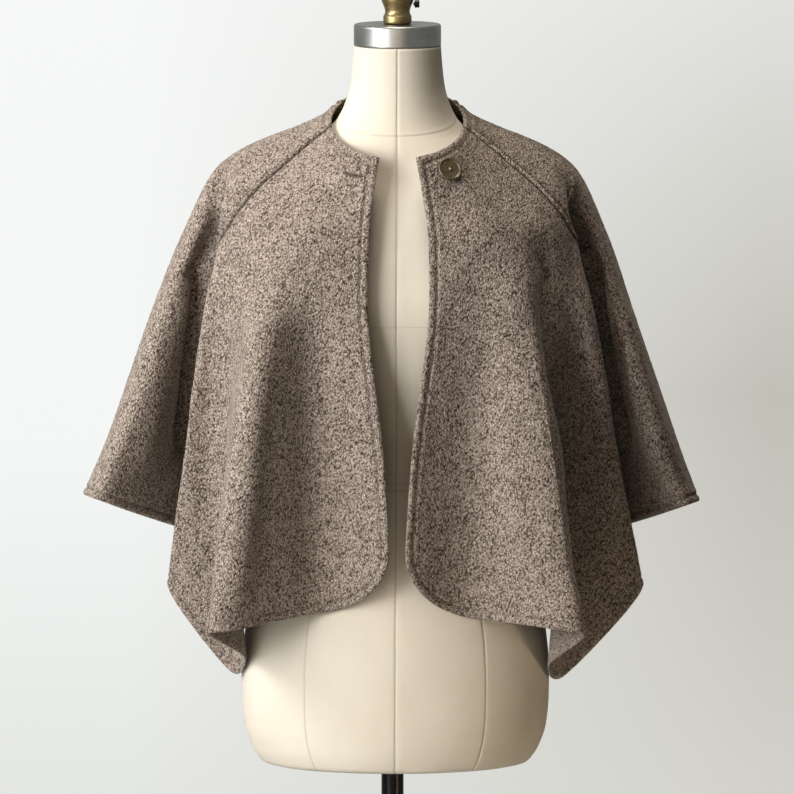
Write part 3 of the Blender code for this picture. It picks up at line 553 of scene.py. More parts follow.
# Soft unevenness of the cloth, and its curls: height, size across, size down, random seed.
# The curls show less on the inner face, and creases fade towards the edges and at their ends.
SLACK = ((0.0009, 0.075, 0.110, 11), (0.0006, 0.032, 0.050, 12))
LONG_CURLS, ROUND_CURLS = (0.00024, 0.0026, 0.0034, 13), (0.00016, 0.0022, 0.0024, 14)
CURLS_LEAN, CURLS_INSIDE = (0.93, 0.35), 0.6
SLACK_FADE, CREASE_FADE, CREASE_TAPER, CREASE_STEP, SHARE_STEP = 0.030, 0.014, 0.060, 0.003, 0.01
# How edges are finished: the rim is rolled, a line of stitches sinks a groove inside it, and
# each seam is sunk. Each row is a height, a distance from the edge and a width.
TOPSTITCH_INSET, RAGLAN_INSET = 0.0090, 0.0070
ROLL = (0.0010, 0.0, 0.0011)
RIM_RELIEF = ((-0.0010, 0.0, 0.0011), (0.0006, 0.0038, 0.0026), (-0.0011, TOPSTITCH_INSET, 0.0017),
              (0.0004, 0.0130, 0.0024))
SEAM_RELIEF = (-0.0015, 0.0, 0.0014)
RAGLAN_RELIEF = ((0.0018, 0.0036, 0.0024), (-0.0014, RAGLAN_INSET, 0.0016))
# Painted shade in the sunk seam, topstitch and raglan grooves: how dark, the distance from the edge and a
# width.
SEAM_SHADE, RIM_SHADE = (0.80, 0.0, 0.0013), (0.26, TOPSTITCH_INSET, 0.0013)
RAGLAN_SHADE = (0.25, RAGLAN_INSET, 0.0012)
EDGE_STEP = 0.0006
# Lines of stitches: distance inside the edge, lift off the cloth, thread radius.
TOPSTITCH, RAGLAN_STITCH = (TOPSTITCH_INSET, 0.0001, 0.00032), (RAGLAN_INSET, -0.0001, 0.00026)
STITCH_LENGTH, STITCH_PITCH, STITCH_SIDES, STITCH_LINE_STEP = 0.0034, 0.0046, 6, 0.0015
STITCH_SHAPE = np.array((
    # share of the length, girth and dip in thread radii
    (0.0, 0.25, -1.30), (0.12, 0.75, -0.585), (0.35, 1.0, 0.0),
    (0.65, 1.0, 0.0), (0.88, 0.75, -0.585), (1.0, 0.25, -1.30),
))
BACK_GRID = (240, 200)
CURLS_A_METRE, CURLS_TURN, CURL_WARP, SWIRLS_A_METRE = (580.0, 580.0, 410.0), -24.0, 0.0024, 330.0
FIBRES_A_METRE, FIBRES_TURN, CLOUDS_A_METRE = (2200.0, 2200.0, 1300.0), 20.0, 60.0
WOOL_DARK = (0.048, 0.035, 0.027)
WOOL_MID = (0.168, 0.135, 0.112)
WOOL_PALE = (0.290, 0.247, 0.212)
WOOL_TUFT = (0.425, 0.377, 0.334)
WOOL_SHEEN = (0.92, 0.84, 0.77)
WOOL_THREAD, RAGLAN_THREAD = (0.20, 0.165, 0.135), (0.10, 0.082, 0.066)


def fold_stations(side):
    """Where each fold line crosses each station, on the wearer's right (-1) or left (1) side."""
    points = np.zeros((len(FOLDS), len(STATIONS), 3))
    for i, (upper, lower) in enumerate(zip(UPPER_FOLDS, LOWER_FOLDS)):
        name, _soft, neck, shoulder_x, shoulder_y, shoulder_z, yoke_x, yoke_y = upper
        chest_x, chest_y, waist_x, waist_y, hem_x, hem_y, hem_z = lower
        shift = LEFT_SHIFTS.get(name, NO_SHIFT) if side > 0 else NO_SHIFT
        yoke_dx, chest_dx, waist_dx, hem_dx, hem_dz = shift
        turn = math.radians(neck)
        middle_z = ELBOW_Z if "sleeve" in name or name == "overarm" else WAIST_Z
        points[i] = (
            (NECK_HALF_WIDTH * math.sin(turn), NECK_CENTRE_Y - NECK_HALF_DEPTH * math.cos(turn),
             NECK_MID_Z - NECK_RISE * math.cos(turn)),
            (shoulder_x + 0.5 * yoke_dx, shoulder_y, shoulder_z),
            (yoke_x + yoke_dx, yoke_y, YOKE_Z),
            (chest_x + chest_dx, chest_y, CHEST_Z),
            (waist_x + waist_dx, waist_y, middle_z),
            (hem_x + hem_dx, hem_y, hem_z + hem_dz),
        )
    return points


def along(points, t, broken):
    """Curve down one fold line; broken lets it turn sharply at the underarm."""
    span = np.diff(STATIONS)
    slope = np.diff(points, axis=0) / span[:, None]
    leave = np.zeros_like(points)
    leave[0], leave[-1] = slope[0], slope[-1]
    leave[1:-1] = (points[2:] - points[:-2]) / (STATIONS[2:] - STATIONS[:-2])[:, None]
    arrive = leave.copy()
    if broken:
        arrive[3], leave[3] = slope[2], slope[3]
    i = np.clip(np.searchsorted(STATIONS, t, side="right") - 1, 0, len(STATIONS) - 2)
    h = span[i][:, None]
    f = ((t - STATIONS[i]) / span[i])[:, None]
    return hermite(points[i], points[i + 1], leave[i] * h, arrive[i + 1] * h, f)


def smooth(value):
    """A soft step from 0 to 1."""
    value = np.clip(value, 0.0, 1.0)
    return value * value * (3.0 - 2.0 * value)


def cloth(side, s, t, part):
    """Outer face of the cloth at positions s round the folds and t down them."""
    stations = fold_stations(side)
    front, back = FRONT_UNDERARM, BACK_UNDERARM
    if part == "sleeve":
        stations[front, 3:] = stations[back, 3:] = SLEEVE_UNDERARM
    rows = np.stack([along(stations[i], t, i in (front, back)) for i in range(len(FOLDS))], axis=1)
    turn = np.zeros_like(rows)
    turn[:, 1:-1] = 0.5 * (rows[:, 2:] - rows[:, :-2])
    turn[:, 0] = rows[:, 1] - rows[:, 0]
    turn[:, -1, 0] = rows[:, -1, 0] - rows[:, -2, 0]
    turn *= SOFTNESS
    leave, arrive = turn.copy(), turn.copy()
    share = smooth((t - PARTING_T) / (UNDERARM_T - PARTING_T))[:, None]
    if part == "sleeve":
        leave[:, front] += share * (rows[:, front + 1] - rows[:, front] - turn[:, front])
        arrive[:, back] += share * (rows[:, back] - rows[:, back - 1] - turn[:, back])
    else:
        across = 0.5 * (rows[:, back + 1] - rows[:, front - 1])
        arrive[:, front] += share * (across - turn[:, front])
        leave[:, back] += share * (across - turn[:, back])
    i = np.clip(np.floor(s).astype(int), 0, len(FOLDS) - 2)
    row = np.arange(len(t))
    points = hermite(rows[row, i], rows[row, i + 1], leave[row, i], arrive[row, i + 1],
                     (s - i)[:, None])
    points[:, 0] = JACKET_X + side * points[:, 0]
    return points


def panel(kind, side, u, w):
    """Outer face of a panel: u across it and w down it, from 0 to 1."""
    if kind == "front":
        p = np.clip((CORNER_WIDTH - u) / CORNER_WIDTH, 0.0, 1.0)
        q = np.clip((w - 1.0 + CORNER_LENGTH) / CORNER_LENGTH, 0.0, 1.0)
        u, w = (u + p * (1.0 - np.sqrt(1.0 - 0.5 * q * q)) * CORNER_WIDTH,
                w - q * (1.0 - np.sqrt(1.0 - 0.5 * p * p)) * CORNER_LENGTH)
    shape = w.shape
    u, t = u.ravel(), w.ravel() * HEM_T
    front_seam, back_seam = (np.interp(t, SEAM_COURSE[:, 0], SEAM_COURSE[:, k]) for k in (1, 2))
    if kind == "front":
        points = cloth(side, u * front_seam, t, "body")
    elif kind == "sleeve":
        points = cloth(side, front_seam + u * (back_seam - front_seam), t, "sleeve")
    else:
        to_middle = len(FOLDS) - 1 - back_seam
        near = cloth(-1, back_seam + np.minimum(2 * u, 1) * to_middle, t, "body")
        far = cloth(1, back_seam + np.minimum(2 - 2 * u, 1) * to_middle, t, "body")
        points = np.where(u[:, None] < 0.5, near, far)
    return points.reshape(shape + (3,))


def spaced(count, fine_start, fine_end):
    """Shares from 0 to 1, closer together at the ends that need it."""
    fine, zone = 0.62, 0.05
    at = (np.arange(count) + 0.5) / count
    step = 1.0 - fine * (fine_start * np.exp(-at / zone) + fine_end * np.exp(-(1.0 - at) / zone))
    return np.concatenate(((0.0,), np.cumsum(step) / step.sum()))


def lumps(across, down, height, size_across, size_down, seed):
    """Soft random heights, up or down, over the flat cloth."""
    count, start = 256, 90.0
    table = np.random.default_rng(seed).uniform(-1.0, 1.0, (count, count))
    a, b = across / size_across + start, down / size_down + start
    i, j = np.floor(a).astype(int), np.floor(b).astype(int)
    f, g = smooth(a - i), smooth(b - j)
    at = [table[(i + di) % count, (j + dj) % count] for di in (0, 1) for dj in (0, 1)]
    return height * ((at[0] * (1 - f) + at[2] * f) * (1 - g) + (at[1] * (1 - f) + at[3] * f) * g)


def nearest_on(places, points):
    """How far each point is from the nearest of some places, and which place that is."""
    tree = kdtree.KDTree(len(places))
    for i, place in enumerate(places):
        tree.insert(place, i)
    tree.balance()
    found = [tree.find(p)[1:] for p in points.reshape(-1, 3)]
    which, far = np.array(found).T.reshape(2, *points.shape[:-1])
    return far, which.astype(int)


def walked(line):
    """The length walked along a line up to each of its points."""
    return np.concatenate(((0.0,), np.cumsum(np.linalg.norm(np.diff(line, axis=0), axis=1))))


def taken_at(lengths, walk, line):
    """A line's columns at some lengths of the walk along it."""
    return np.stack([np.interp(lengths, walk, column) for column in line.T], -1)


def sampled(line, step):
    """A line of points taken again at even steps."""
    walk = walked(line)
    count = max(2, int(round(walk[-1] / step)) + 1)
    return taken_at(np.linspace(0.0, walk[-1], count), walk, line)


def wool_look(name):
    """Felted boucle: small pale curls packed close, dark only in the gaps, fibres over all; painted shade
    darkens its sunk seams.
    """
    look, tree, shader = new_look(name)
    at = coordinates(tree)
    curled = joined(tree, "VectorMath", {"operation": "MULTIPLY_ADD"},
                    noise(tree, at, SWIRLS_A_METRE, output="Color"), (CURL_WARP,) * 3, at)
    curls = tree.nodes.new("ShaderNodeTexVoronoi")
    put(tree, curls, Scale=1.0, Vector=stretched(tree, curled, CURLS_A_METRE, CURLS_TURN))
    tufts = maths(tree, "SUBTRACT", 1.0, curls.outputs["Distance"])
    fibres = noise(tree, stretched(tree, at, FIBRES_A_METRE, FIBRES_TURN), 1.0, 2.0, 0.6, 0.8)
    clouds = noise(tree, at, CLOUDS_A_METRE, 3.0)
    pale = maths(tree, "MULTIPLY_ADD", curls.outputs["Color"], 0.34, maths(tree, "MULTIPLY", tufts, 0.56))
    pale = maths(tree, "MULTIPLY_ADD", maths(tree, "SUBTRACT", fibres, 0.5), 0.30, pale)
    pale = maths(tree, "MULTIPLY_ADD", maths(tree, "SUBTRACT", clouds, 0.5), 0.16, pale)
    base = ramp(tree, pale, (0.22, WOOL_DARK), (0.37, WOOL_MID), (0.53, WOOL_PALE), (0.72, WOOL_TUFT))
    nap = bumped(tree, fibres, 0.30, 0.0004)
    put(tree, shader, Base_Color=with_painted_seam_shade(tree, base, WOOL_DARK), Roughness=0.95,
        Specular_IOR_Level=0.05, Sheen_Weight=0.35, Sheen_Roughness=0.40, Sheen_Tint=WOOL_SHEEN,
        Normal=bumped(tree, tufts, 0.70, 0.0014, Normal=nap))
    return look


def thread_look(name, colour):
    """Twisted sewing thread with a slight shine."""
    look, tree, shader = new_look(name)
    twist = noise(tree, coordinates(tree), 2400.0, 1.0)
    dull = tuple(0.55 * c for c in colour)
    put(tree, shader, Base_Color=ramp(tree, twist, (0.35, dull), (0.6, colour)), Roughness=0.6,
        Normal=bumped(tree, twist, 0.5, 0.0003))
    return look


def tube_faces(first, rings, sides):
    """Faces of a closed tube whose rings of vertices follow each other from the first one on."""
    faces = [tuple(first + j for j in range(sides - 1, -1, -1))]
    last = first + (rings - 1) * sides
    for low in range(first, last, sides):
        faces += [(low + j, low + (j + 1) % sides, low + sides + (j + 1) % sides, low + sides + j)
                  for j in range(sides)]
    faces.append(tuple(last + j for j in range(sides)))
    return faces


def stitches(name, line, normals, radius, look):
    """A run of short thread stitches that lie along a line on the cloth."""
    walk, nudge = walked(line), 0.0004
    starts = np.arange(0.5 * STITCH_PITCH, walk[-1] - STITCH_LENGTH, STITCH_PITCH)
    share, girth, dip = STITCH_SHAPE.T
    at = (starts[:, None] + share * STITCH_LENGTH).ravel()
    up = unit(taken_at(at, walk, normals))
    ahead = taken_at(at + nudge, walk, line) - taken_at(at - nudge, walk, line)
    beside = unit(np.cross(up, ahead))
    middle = taken_at(at, walk, line) + up * np.tile(dip * radius, len(starts))[:, None]
    turn = (np.arange(STITCH_SIDES) * math.tau / STITCH_SIDES)[None, :, None]
    girth = np.tile(girth * radius, len(starts))[:, None, None]
    points = middle[:, None] + girth * (np.cos(turn) * beside[:, None] + np.sin(turn) * up[:, None])
    faces = []
    for stitch in range(len(starts)):
        faces += tube_faces(stitch * len(share) * STITCH_SIDES, len(share), STITCH_SIDES)
    return add_piece(name, points.reshape(-1, 3), faces, look)


def topstitch(name, edge, beside_edge, outer, normal, stitch, look):
    """A line of stitches that follows an edge of the cloth a little inside it."""
    inset, lift, radius = stitch
    ahead = unit(np.gradient(edge, axis=0))
    inward = beside_edge - edge
    inward = unit(inward - (inward * ahead).sum(-1, keepdims=True) * ahead)
    both = sampled(np.concatenate((edge, inward), -1), STITCH_LINE_STEP)
    line = both[:, :3] + both[:, 3:] * inset
    surface, up = outer.reshape(-1, 3), normal.reshape(-1, 3)
    _far, nearest = nearest_on(surface, line)
    off = ((line - surface[nearest]) * up[nearest]).sum(-1, keepdims=True)
    return stitches(name, line + up[nearest] * (lift - off), up[nearest], radius, look)


def fall_of(kind, side, shape, flat, from_edge, creases):
    """How far the cloth stands off its panel: soft unevenness, and each crease in its course."""
    fall = sum(lumps(*flat, *row) for row in SLACK) * smooth(from_edge / SLACK_FADE)
    for course, width, height in creases:
        shares = sampled(np.array(course), SHARE_STEP)
        line = panel(kind, side, shares[None, :, 0], shares[None, :, 1])[0]
        near, reached = nearest_on(sampled(line, CREASE_STEP), shape)
        taper = smooth(np.minimum(reached, reached.max() - reached) * CREASE_STEP / CREASE_TAPER)
        fall += height * taper * bell(near, width) * smooth(from_edge / CREASE_FADE)
    return fall


def closed_wall(outer, inner):
    """Vertices and faces of the cloth's two faces, the inner half as fine, joined round the rim."""
    fine = np.arange(outer.size // 3).reshape(outer.shape[:2])
    coarse = fine.size + np.arange(inner.size // 3).reshape(inner.shape[:2])
    faces = []
    for g in (fine, coarse):
        quads = np.stack((g[:-1, :-1], g[:-1, 1:], g[1:, 1:], g[1:, :-1]), -1)
        faces += quads.reshape(-1, 4).tolist()
    outside, inside = (np.concatenate((g[0], g[1:, -1], g[-1, -2::-1], g[-2:0:-1, 0])).tolist()
                       for g in (fine, coarse))
    for i in range(len(inside)):
        a, m, b = outside[2 * i], outside[2 * i + 1], outside[(2 * i + 2) % len(outside)]
        faces.append((a, m, b, inside[(i + 1) % len(inside)], inside[i]))
    return np.concatenate((outer.reshape(-1, 3), inner.reshape(-1, 3))), faces


def face_outward(mesh):
    """Turns every face of a closed mesh outward."""
    shaped = bmesh.new()
    shaped.from_mesh(mesh)
    bmesh.ops.recalc_face_normals(shaped, faces=shaped.faces)
    if shaped.calc_volume(signed=True) < 0.0:
        bmesh.ops.reverse_faces(shaped, faces=shaped.faces)
    shaped.to_mesh(mesh)
    shaped.free()


def sew_panel(name, kind, side, grid, look, creases=(), slit=None):
    """One panel of cloth with its relief and its closed wall, and its lines of stitches."""
    columns, rows = grid
    u, w = np.meshgrid(spaced(columns, 1.0, 1.0), spaced(rows, 0.7, 1.0))
    shape = panel(kind, side, u, w)
    normal = unit(np.cross(np.gradient(shape, axis=0), np.gradient(shape, axis=1)))
    normal *= -1.0 if kind == "back" else side
    across = np.stack([walked(row) for row in shape])
    if kind != "front":
        across -= across[:, columns // 2][:, None]
    down = np.stack([walked(shape[:, j]) for j in range(columns + 1)], axis=1)
    edges = {"neck": (shape[0], shape[1]), "hem": (shape[-1], shape[-2])}
    if kind == "front":
        edges["edge"] = (shape[:, 0], shape[:, 1])
    rims = [edge for edge, _beside in edges.values()]
    seams = [shape[:, -1]] if kind == "front" else [shape[:, 0], shape[:, -1]]
    from_rim, from_seam = (
        nearest_on(np.concatenate([sampled(line, EDGE_STEP) for line in lines]), shape)[0]
        for lines in (rims, seams))
    above_underarm = w[:, 0] * HEM_T < UNDERARM_T
    raglan = above_underarm[:, None].astype(float) if kind == "sleeve" else 0.0

    fall = fall_of(kind, side, shape, (across, down), np.minimum(from_rim, from_seam), creases)
    lean_across, lean_down = CURLS_LEAN
    curls = lumps(across * lean_across + down * lean_down, down, *LONG_CURLS)
    curls += lumps(across, down, *ROUND_CURLS)
    finish = (ridges(from_rim, *RIM_RELIEF) + ridges(from_seam, SEAM_RELIEF)
              + raglan * ridges(from_seam, *RAGLAN_RELIEF))
    # Painted shade in the sunk seam, topstitch and raglan grooves, read by the wool's look.
    shade = (ridges(from_seam, SEAM_SHADE) + ridges(from_rim, RIM_SHADE)
             + raglan * ridges(from_seam, RAGLAN_SHADE))
    if slit is not None:
        from_slit = nearest_on(slit, shape)[0]
        finish += ridges(from_slit, *SLIT_RELIEF)
        # Painted shade in the buttonhole's slit.
        shade += ridges(from_slit, SLIT_SHADE)
    outer = shape + normal * (fall + curls + finish)[..., None]
    inner = shape + normal * (fall - WALL + ridges(from_rim, ROLL) - CURLS_INSIDE * curls)[..., None]
    vertices, faces = closed_wall(outer, inner[::2, ::2])
    piece = add_piece(name, vertices, faces, look)
    face_outward(piece.data)
    inner_shade = np.zeros(len(vertices) - shade.size)
    store_painted_seam_shade(piece, np.concatenate((np.clip(shade, 0.0, 1.0).ravel(), inner_shade)))

    stitching = [topstitch(f"{name}_{key}_topstitch", edge, beside, outer, normal, TOPSTITCH, wool_thread)
                 for key, (edge, beside) in edges.items()]
    if kind == "sleeve":
        raglans = shape[above_underarm]
        for key, edge, beside in (("front", 0, 1), ("back", -1, -2)):
            stitching.append(topstitch(f"{name}_raglan_{key}_topstitch", raglans[:, edge],
                                       raglans[:, beside], outer, normal, RAGLAN_STITCH, raglan_thread))
    return piece, stitching


wool_thread = thread_look("wool_thread", WOOL_THREAD)
raglan_thread = thread_look("raglan_thread", RAGLAN_THREAD)
back, back_stitching = sew_panel("back_cloth", "back", 0, BACK_GRID, wool_look("wool_back"))
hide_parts("back")

# ------------------------
# Sleeves
# Raglan sleeves in the same wool, each cut in one from the neck over the shoulder to the wide
# cuff. The seam allowances are pressed to the sleeve and topstitched, which raises a ridge.
# ------------------------
SLEEVES = (
    # name, side, flat width, flat length, flat area
    ("sleeve_right", -1, 0.43, 0.60, 0.128),
    ("sleeve_left", 1, 0.40, 0.60, 0.122),
)
SLEEVE_GRID = (180, 260)
# Each crease: its course as shares across and down the panel, its width, its height.
SLEEVE_CREASES = {
    "sleeve_right": (
        (((0.29, 0.17), (0.25, 0.21), (0.235, 0.25), (0.265, 0.295), (0.235, 0.335), (0.16, 0.37),
          (0.115, 0.42), (0.105, 0.47), (0.095, 0.54), (0.075, 0.66), (0.06, 0.86)), 0.0110, -0.0165),
        (((0.15, 0.17), (0.14, 0.23), (0.11, 0.30), (0.05, 0.35)), 0.0070, 0.0042),
        (((0.27, 0.40), (0.22, 0.46), (0.21, 0.53), (0.18, 0.66), (0.17, 0.83), (0.17, 0.93)),
         0.024, 0.0070)),
    "sleeve_left": (
        (((0.20, 0.17), (0.19, 0.23), (0.205, 0.28), (0.225, 0.33), (0.15, 0.385), (0.13, 0.46),
          (0.125, 0.55), (0.12, 0.67), (0.12, 0.86)), 0.0110, -0.0165),
        (((0.27, 0.40), (0.26, 0.47), (0.26, 0.57), (0.24, 0.71), (0.22, 0.87), (0.21, 0.94)),
         0.022, 0.0060)),
}
for name, side, flat_width, flat_length, flat_area in SLEEVES:
    sleeve, stitching = sew_panel(name + "_cloth", "sleeve", side, SLEEVE_GRID,
                                  wool_look("wool_" + name), SLEEVE_CREASES[name])
    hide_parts(name)

# ------------------------
# Fronts
# Two fronts that hang open, each with a facing turned under its edge. The lower corners are
# rounded, and the wearer's right front has a worked buttonhole near the neck.
# ------------------------
SLIT_U, SLIT_W, SLIT_LENGTH, SLIT_SLOPE, SLIT_BOW = 0.165, 0.0963, 0.023, -10.0, 0.0009
# The slit's sunk groove, and the painted shade that darkens it.
SLIT_RELIEF, SLIT_SHADE = ((-0.0016, 0.0, 0.0009), (0.0004, 0.0022, 0.0012)), (1.0, 0.0, 0.0008)
# The bars of thread that bind the slit: each rises from inside a lip and ends on the cloth.
BAR_PITCH, BAR_RADIUS, BAR_SLANT, BAR_SIDES = 0.00085, 0.00034, 0.0002, 5
BAR_COURSE = ((0.0004, -0.0006), (0.0011, 0.0002), (0.0021, 0.0001))
SLIT_THREAD = (0.24, 0.20, 0.165)


def place_on_front(side, u, w, slope):
    """Where a point of a front is, and how a thing lies flat on it with its X level."""
    step = 1e-3
    at = panel("front", side, np.array([[u, u + step, u - step, u, u]]),
               np.array([[w, w, w, w + step, w - step]]))[0]
    normal = Vector(np.cross(at[3] - at[4], at[1] - at[2]) * side).normalized()
    level = Vector((0.0, 0.0, 1.0)).cross(normal).normalized()
    turn = Matrix((level, normal.cross(level), normal)).transposed() @ Matrix.Rotation(
        math.radians(slope), 3, "Z")
    return Matrix.Translation(Vector(at[0])) @ turn.to_4x4()


def by_slit(x, y=0.0, z=0.0, slant=0.0):
    """A point beside the slit, whose middle line bows up a little at both ends."""
    return np.array(at_slit @ Vector((x + slant, SLIT_BOW * (2 * x / SLIT_LENGTH) ** 2 + y, z)))


def work_buttonhole():
    """Short bars of thread, side by side along both lips of the slit."""
    up = np.array(at_slit.to_3x3() @ Vector((0.0, 0.0, 1.0)))
    points, faces = [], []
    for x in np.arange(-0.5 * SLIT_LENGTH, 0.5 * SLIT_LENGTH, BAR_PITCH):
        for lip in (-1, 1):
            bar = [by_slit(x, lip * y, z, lip * BAR_SLANT) for y, z in BAR_COURSE]
            beside = np.cross(up, unit(bar[-1] - bar[0]))
            faces += tube_faces(len(points), len(bar), BAR_SIDES)
            for p in bar:
                for a in np.arange(BAR_SIDES) * math.tau / BAR_SIDES:
                    points.append(p + BAR_RADIUS * (math.cos(a) * beside + math.sin(a) * up))
    return add_piece("buttonhole_stitching", points, faces, thread_look("buttonhole_thread", SLIT_THREAD))


at_slit = place_on_front(-1, SLIT_U, SLIT_W, SLIT_SLOPE)
slit_line = np.array([by_slit(x) for x in np.linspace(-0.5, 0.5, 60) * SLIT_LENGTH])

FRONTS = (
    # name, side, flat width, flat length, flat area
    ("front_right", -1, 0.59, 0.68, 0.188),
    ("front_left", 1, 0.62, 0.68, 0.195),
)
FRONT_GRID = (300, 250)
FRONT_CREASES = {
    "front_right": (
        (((0.335, 0.40), (0.325, 0.50), (0.31, 0.60), (0.287, 0.68), (0.277, 0.76), (0.285, 0.83),
          (0.29, 0.90), (0.29, 0.99)), 0.0190, 0.0088),
        (((0.155, 0.44), (0.155, 0.54), (0.155, 0.72), (0.15, 0.84), (0.145, 0.99)), 0.024, -0.0080)),
    "front_left": (
        (((0.46, 0.30), (0.46, 0.42), (0.475, 0.51), (0.50, 0.61), (0.54, 0.72), (0.62, 0.81),
          (0.70, 0.90)), 0.018, -0.0120),
        (((0.72, 0.38), (0.77, 0.51), (0.775, 0.63), (0.78, 0.73), (0.80, 0.84)), 0.010, 0.0045),
        (((0.28, 0.41), (0.29, 0.51), (0.32, 0.61), (0.33, 0.72), (0.35, 0.82), (0.38, 0.96)),
         0.022, -0.0075),
        (((0.205, 0.57), (0.21, 0.72), (0.223, 0.82), (0.225, 0.96)), 0.017, 0.0050)),
}
for name, side, flat_width, flat_length, flat_area in FRONTS:
    is_right = side < 0
    front, stitching = sew_panel(name + "_cloth", "front", side, FRONT_GRID, wool_look("wool_" + name),
                                 FRONT_CREASES[name], slit_line if is_right else None)
    if is_right:
        stitching.append(work_buttonhole())
    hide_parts(name)

# ------------------------
# Button
# A turned olive-brown horn button with a raised rim and four holes, sewn to the wearer's left
# front with a cross of pale thread.
# ------------------------
BUTTON_U, BUTTON_W, BUTTON_LIFT = 0.240, 0.0765, 0.0006
BUTTON_RADIUS, BUTTON_HEIGHT, BUTTON_RIM, BUTTON_DISH = 0.0140, 0.0044, 0.0026, 0.0013
DISH_Z, INSIDE_RIM = BUTTON_HEIGHT - BUTTON_DISH, BUTTON_RADIUS - BUTTON_RIM
BUTTON_PROFILE = (
    (0.0, 0.0), (BUTTON_RADIUS - 0.0010, 0.0), (BUTTON_RADIUS, 0.0012),
    (BUTTON_RADIUS, BUTTON_HEIGHT - 0.0010), (BUTTON_RADIUS - 0.0010, BUTTON_HEIGHT),
    (INSIDE_RIM + 0.0004, BUTTON_HEIGHT), (INSIDE_RIM - 0.0008, DISH_Z),
    (0.0040, DISH_Z - 0.0002), (0.0, DISH_Z - 0.0003),
)
BUTTON_EDGE, BUTTON_STEPS = 0.0007, 96
HOLE_RADIUS, HOLE_OFFSET = 0.0010, 0.0022
HORN_DARK, HORN_MID, HORN_PALE = (0.030, 0.020, 0.009), (0.078, 0.054, 0.024), (0.125, 0.092, 0.046)
HORN_STREAKS_A_METRE, HORN_STREAKS_TURN = (160.0, 160.0, 420.0), 20.0
STRAND_RADIUS, STRANDS_APART, STRAND_SIDES, STRAND_OVER = 0.00034, 0.0007, 8, 0.00035
STRAND_COURSE = (
    # share of the way to the hole, height over the dish, share of the rise over the other strands
    (-1.0, -0.0016, 0.0), (-0.85, -0.0002, 0.0), (-0.5, 0.0004, 1.0), (0.0, 0.0005, 1.0),
    (0.5, 0.0004, 1.0), (0.85, -0.0002, 0.0), (1.0, -0.0016, 0.0),
)
PALE_THREAD = (0.44, 0.37, 0.26)


def horn_look():
    """Polished horn: cloudy streaks that run across the button, under a satin polish."""
    look, tree, shader = new_look("button_horn")
    streaks = noise(tree, stretched(tree, coordinates(tree), HORN_STREAKS_A_METRE, HORN_STREAKS_TURN),
                    1.0, 4.0, 0.6, 1.4)
    colour = ramp(tree, streaks, (0.30, HORN_DARK), (0.50, HORN_MID), (0.72, HORN_PALE))
    put(tree, shader, Base_Color=colour, Roughness=0.32, Coat_Weight=0.25, Coat_Roughness=0.2,
        Normal=bumped(tree, streaks, 0.10, 0.0003))
    return look


def drill_holes(button):
    """Four holes through the button, cut into its mesh."""
    drill = bmesh.new()
    for degrees in (45, 135, 225, 315):
        turn = math.radians(degrees)
        spot = Vector((HOLE_OFFSET * math.cos(turn), HOLE_OFFSET * math.sin(turn), 0.5 * BUTTON_HEIGHT))
        bmesh.ops.create_cone(drill, cap_ends=True, segments=24, radius1=HOLE_RADIUS,
                              radius2=HOLE_RADIUS, depth=2 * BUTTON_HEIGHT,
                              matrix=at_button @ Matrix.Translation(spot))
    drill_mesh = bpy.data.meshes.new("drill")
    drill.to_mesh(drill_mesh)
    drill.free()
    drill_bit = add_object("drill", drill_mesh)
    button.modifiers.clear()
    holes = button.modifiers.new("Thread_holes", "BOOLEAN")
    holes.object = drill_bit
    holes.solver = "EXACT"
    bpy.context.view_layer.update()
    drilled = button.evaluated_get(bpy.context.evaluated_depsgraph_get())
    drilled_mesh = bpy.data.meshes.new_from_object(drilled)
    button.modifiers.clear()
    button.data = drilled_mesh
    bpy.data.objects.remove(drill_bit, do_unlink=True)
    shade_evenly(button)


def sew_on_button():
    """A cross of thread, two strands each way, that dives into the four holes."""
    points, faces = [], []
    for degrees, over in ((45, 0.0), (135, STRAND_OVER)):
        turn = math.radians(degrees)
        ahead = Vector((math.cos(turn), math.sin(turn), 0.0))
        beside = Vector((-math.sin(turn), math.cos(turn), 0.0))
        for strand in (-0.5, 0.5):
            faces += tube_faces(len(points), len(STRAND_COURSE), STRAND_SIDES)
            for share, z, rise in STRAND_COURSE:
                middle = ahead * (share * HOLE_OFFSET) + beside * (strand * STRANDS_APART)
                middle.z = DISH_Z + z + rise * over
                for a in np.arange(STRAND_SIDES) * math.tau / STRAND_SIDES:
                    edge = beside * math.cos(a) + Vector((0.0, 0.0, math.sin(a)))
                    points.append(at_button @ (middle + edge * STRAND_RADIUS))
    return add_piece("button_thread", points, faces, thread_look("pale_thread", PALE_THREAD))


at_button = place_on_front(1, BUTTON_U, BUTTON_W, 0.0) @ Matrix.Translation((0.0, 0.0, BUTTON_LIFT))
button = turned("horn_button", rounded(BUTTON_PROFILE, BUTTON_EDGE), horn_look(), BUTTON_STEPS,
                place=at_button)
drill_holes(button)
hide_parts("button")
sew_on_button()

# ------------------------
# Studio
# A plain pale floor and a plain pale surround that darkens a little to the right. Soft lamps
# stand at the viewer's left, above and in front, with a faint one low at the right. The camera
# looks slightly down on the jacket.
# ------------------------
PICTURE_PIXELS, PIXEL = 794, 0.00113
CAMERA_AWAY, CAMERA_PITCH, SENSOR = 16.0, 6.0, 36.0
CLIP_FROM, CLIP_TO = 0.5, 200.0
AIM = Vector((0.0051, 0.0, 1.1568))
FLOOR_RADIUS, FLOOR_Z, FLOOR_STEPS = 3.0, -0.0005, 96
FLOOR_PALE, FLOOR_PALER = (0.49, 0.485, 0.465), (0.53, 0.525, 0.505)
# The surround as the camera sees it, from low to high at its pale left and its greyer right.
PALE_SIDE = ((0.05, (0.810, 0.822, 0.806)), (0.45, (0.925, 0.938, 0.930)), (0.95, (0.940, 0.952, 0.945)))
GREY_SIDE = ((0.05, (0.690, 0.680, 0.640)), (0.50, (0.590, 0.578, 0.530)), (0.95, (0.785, 0.790, 0.765)))
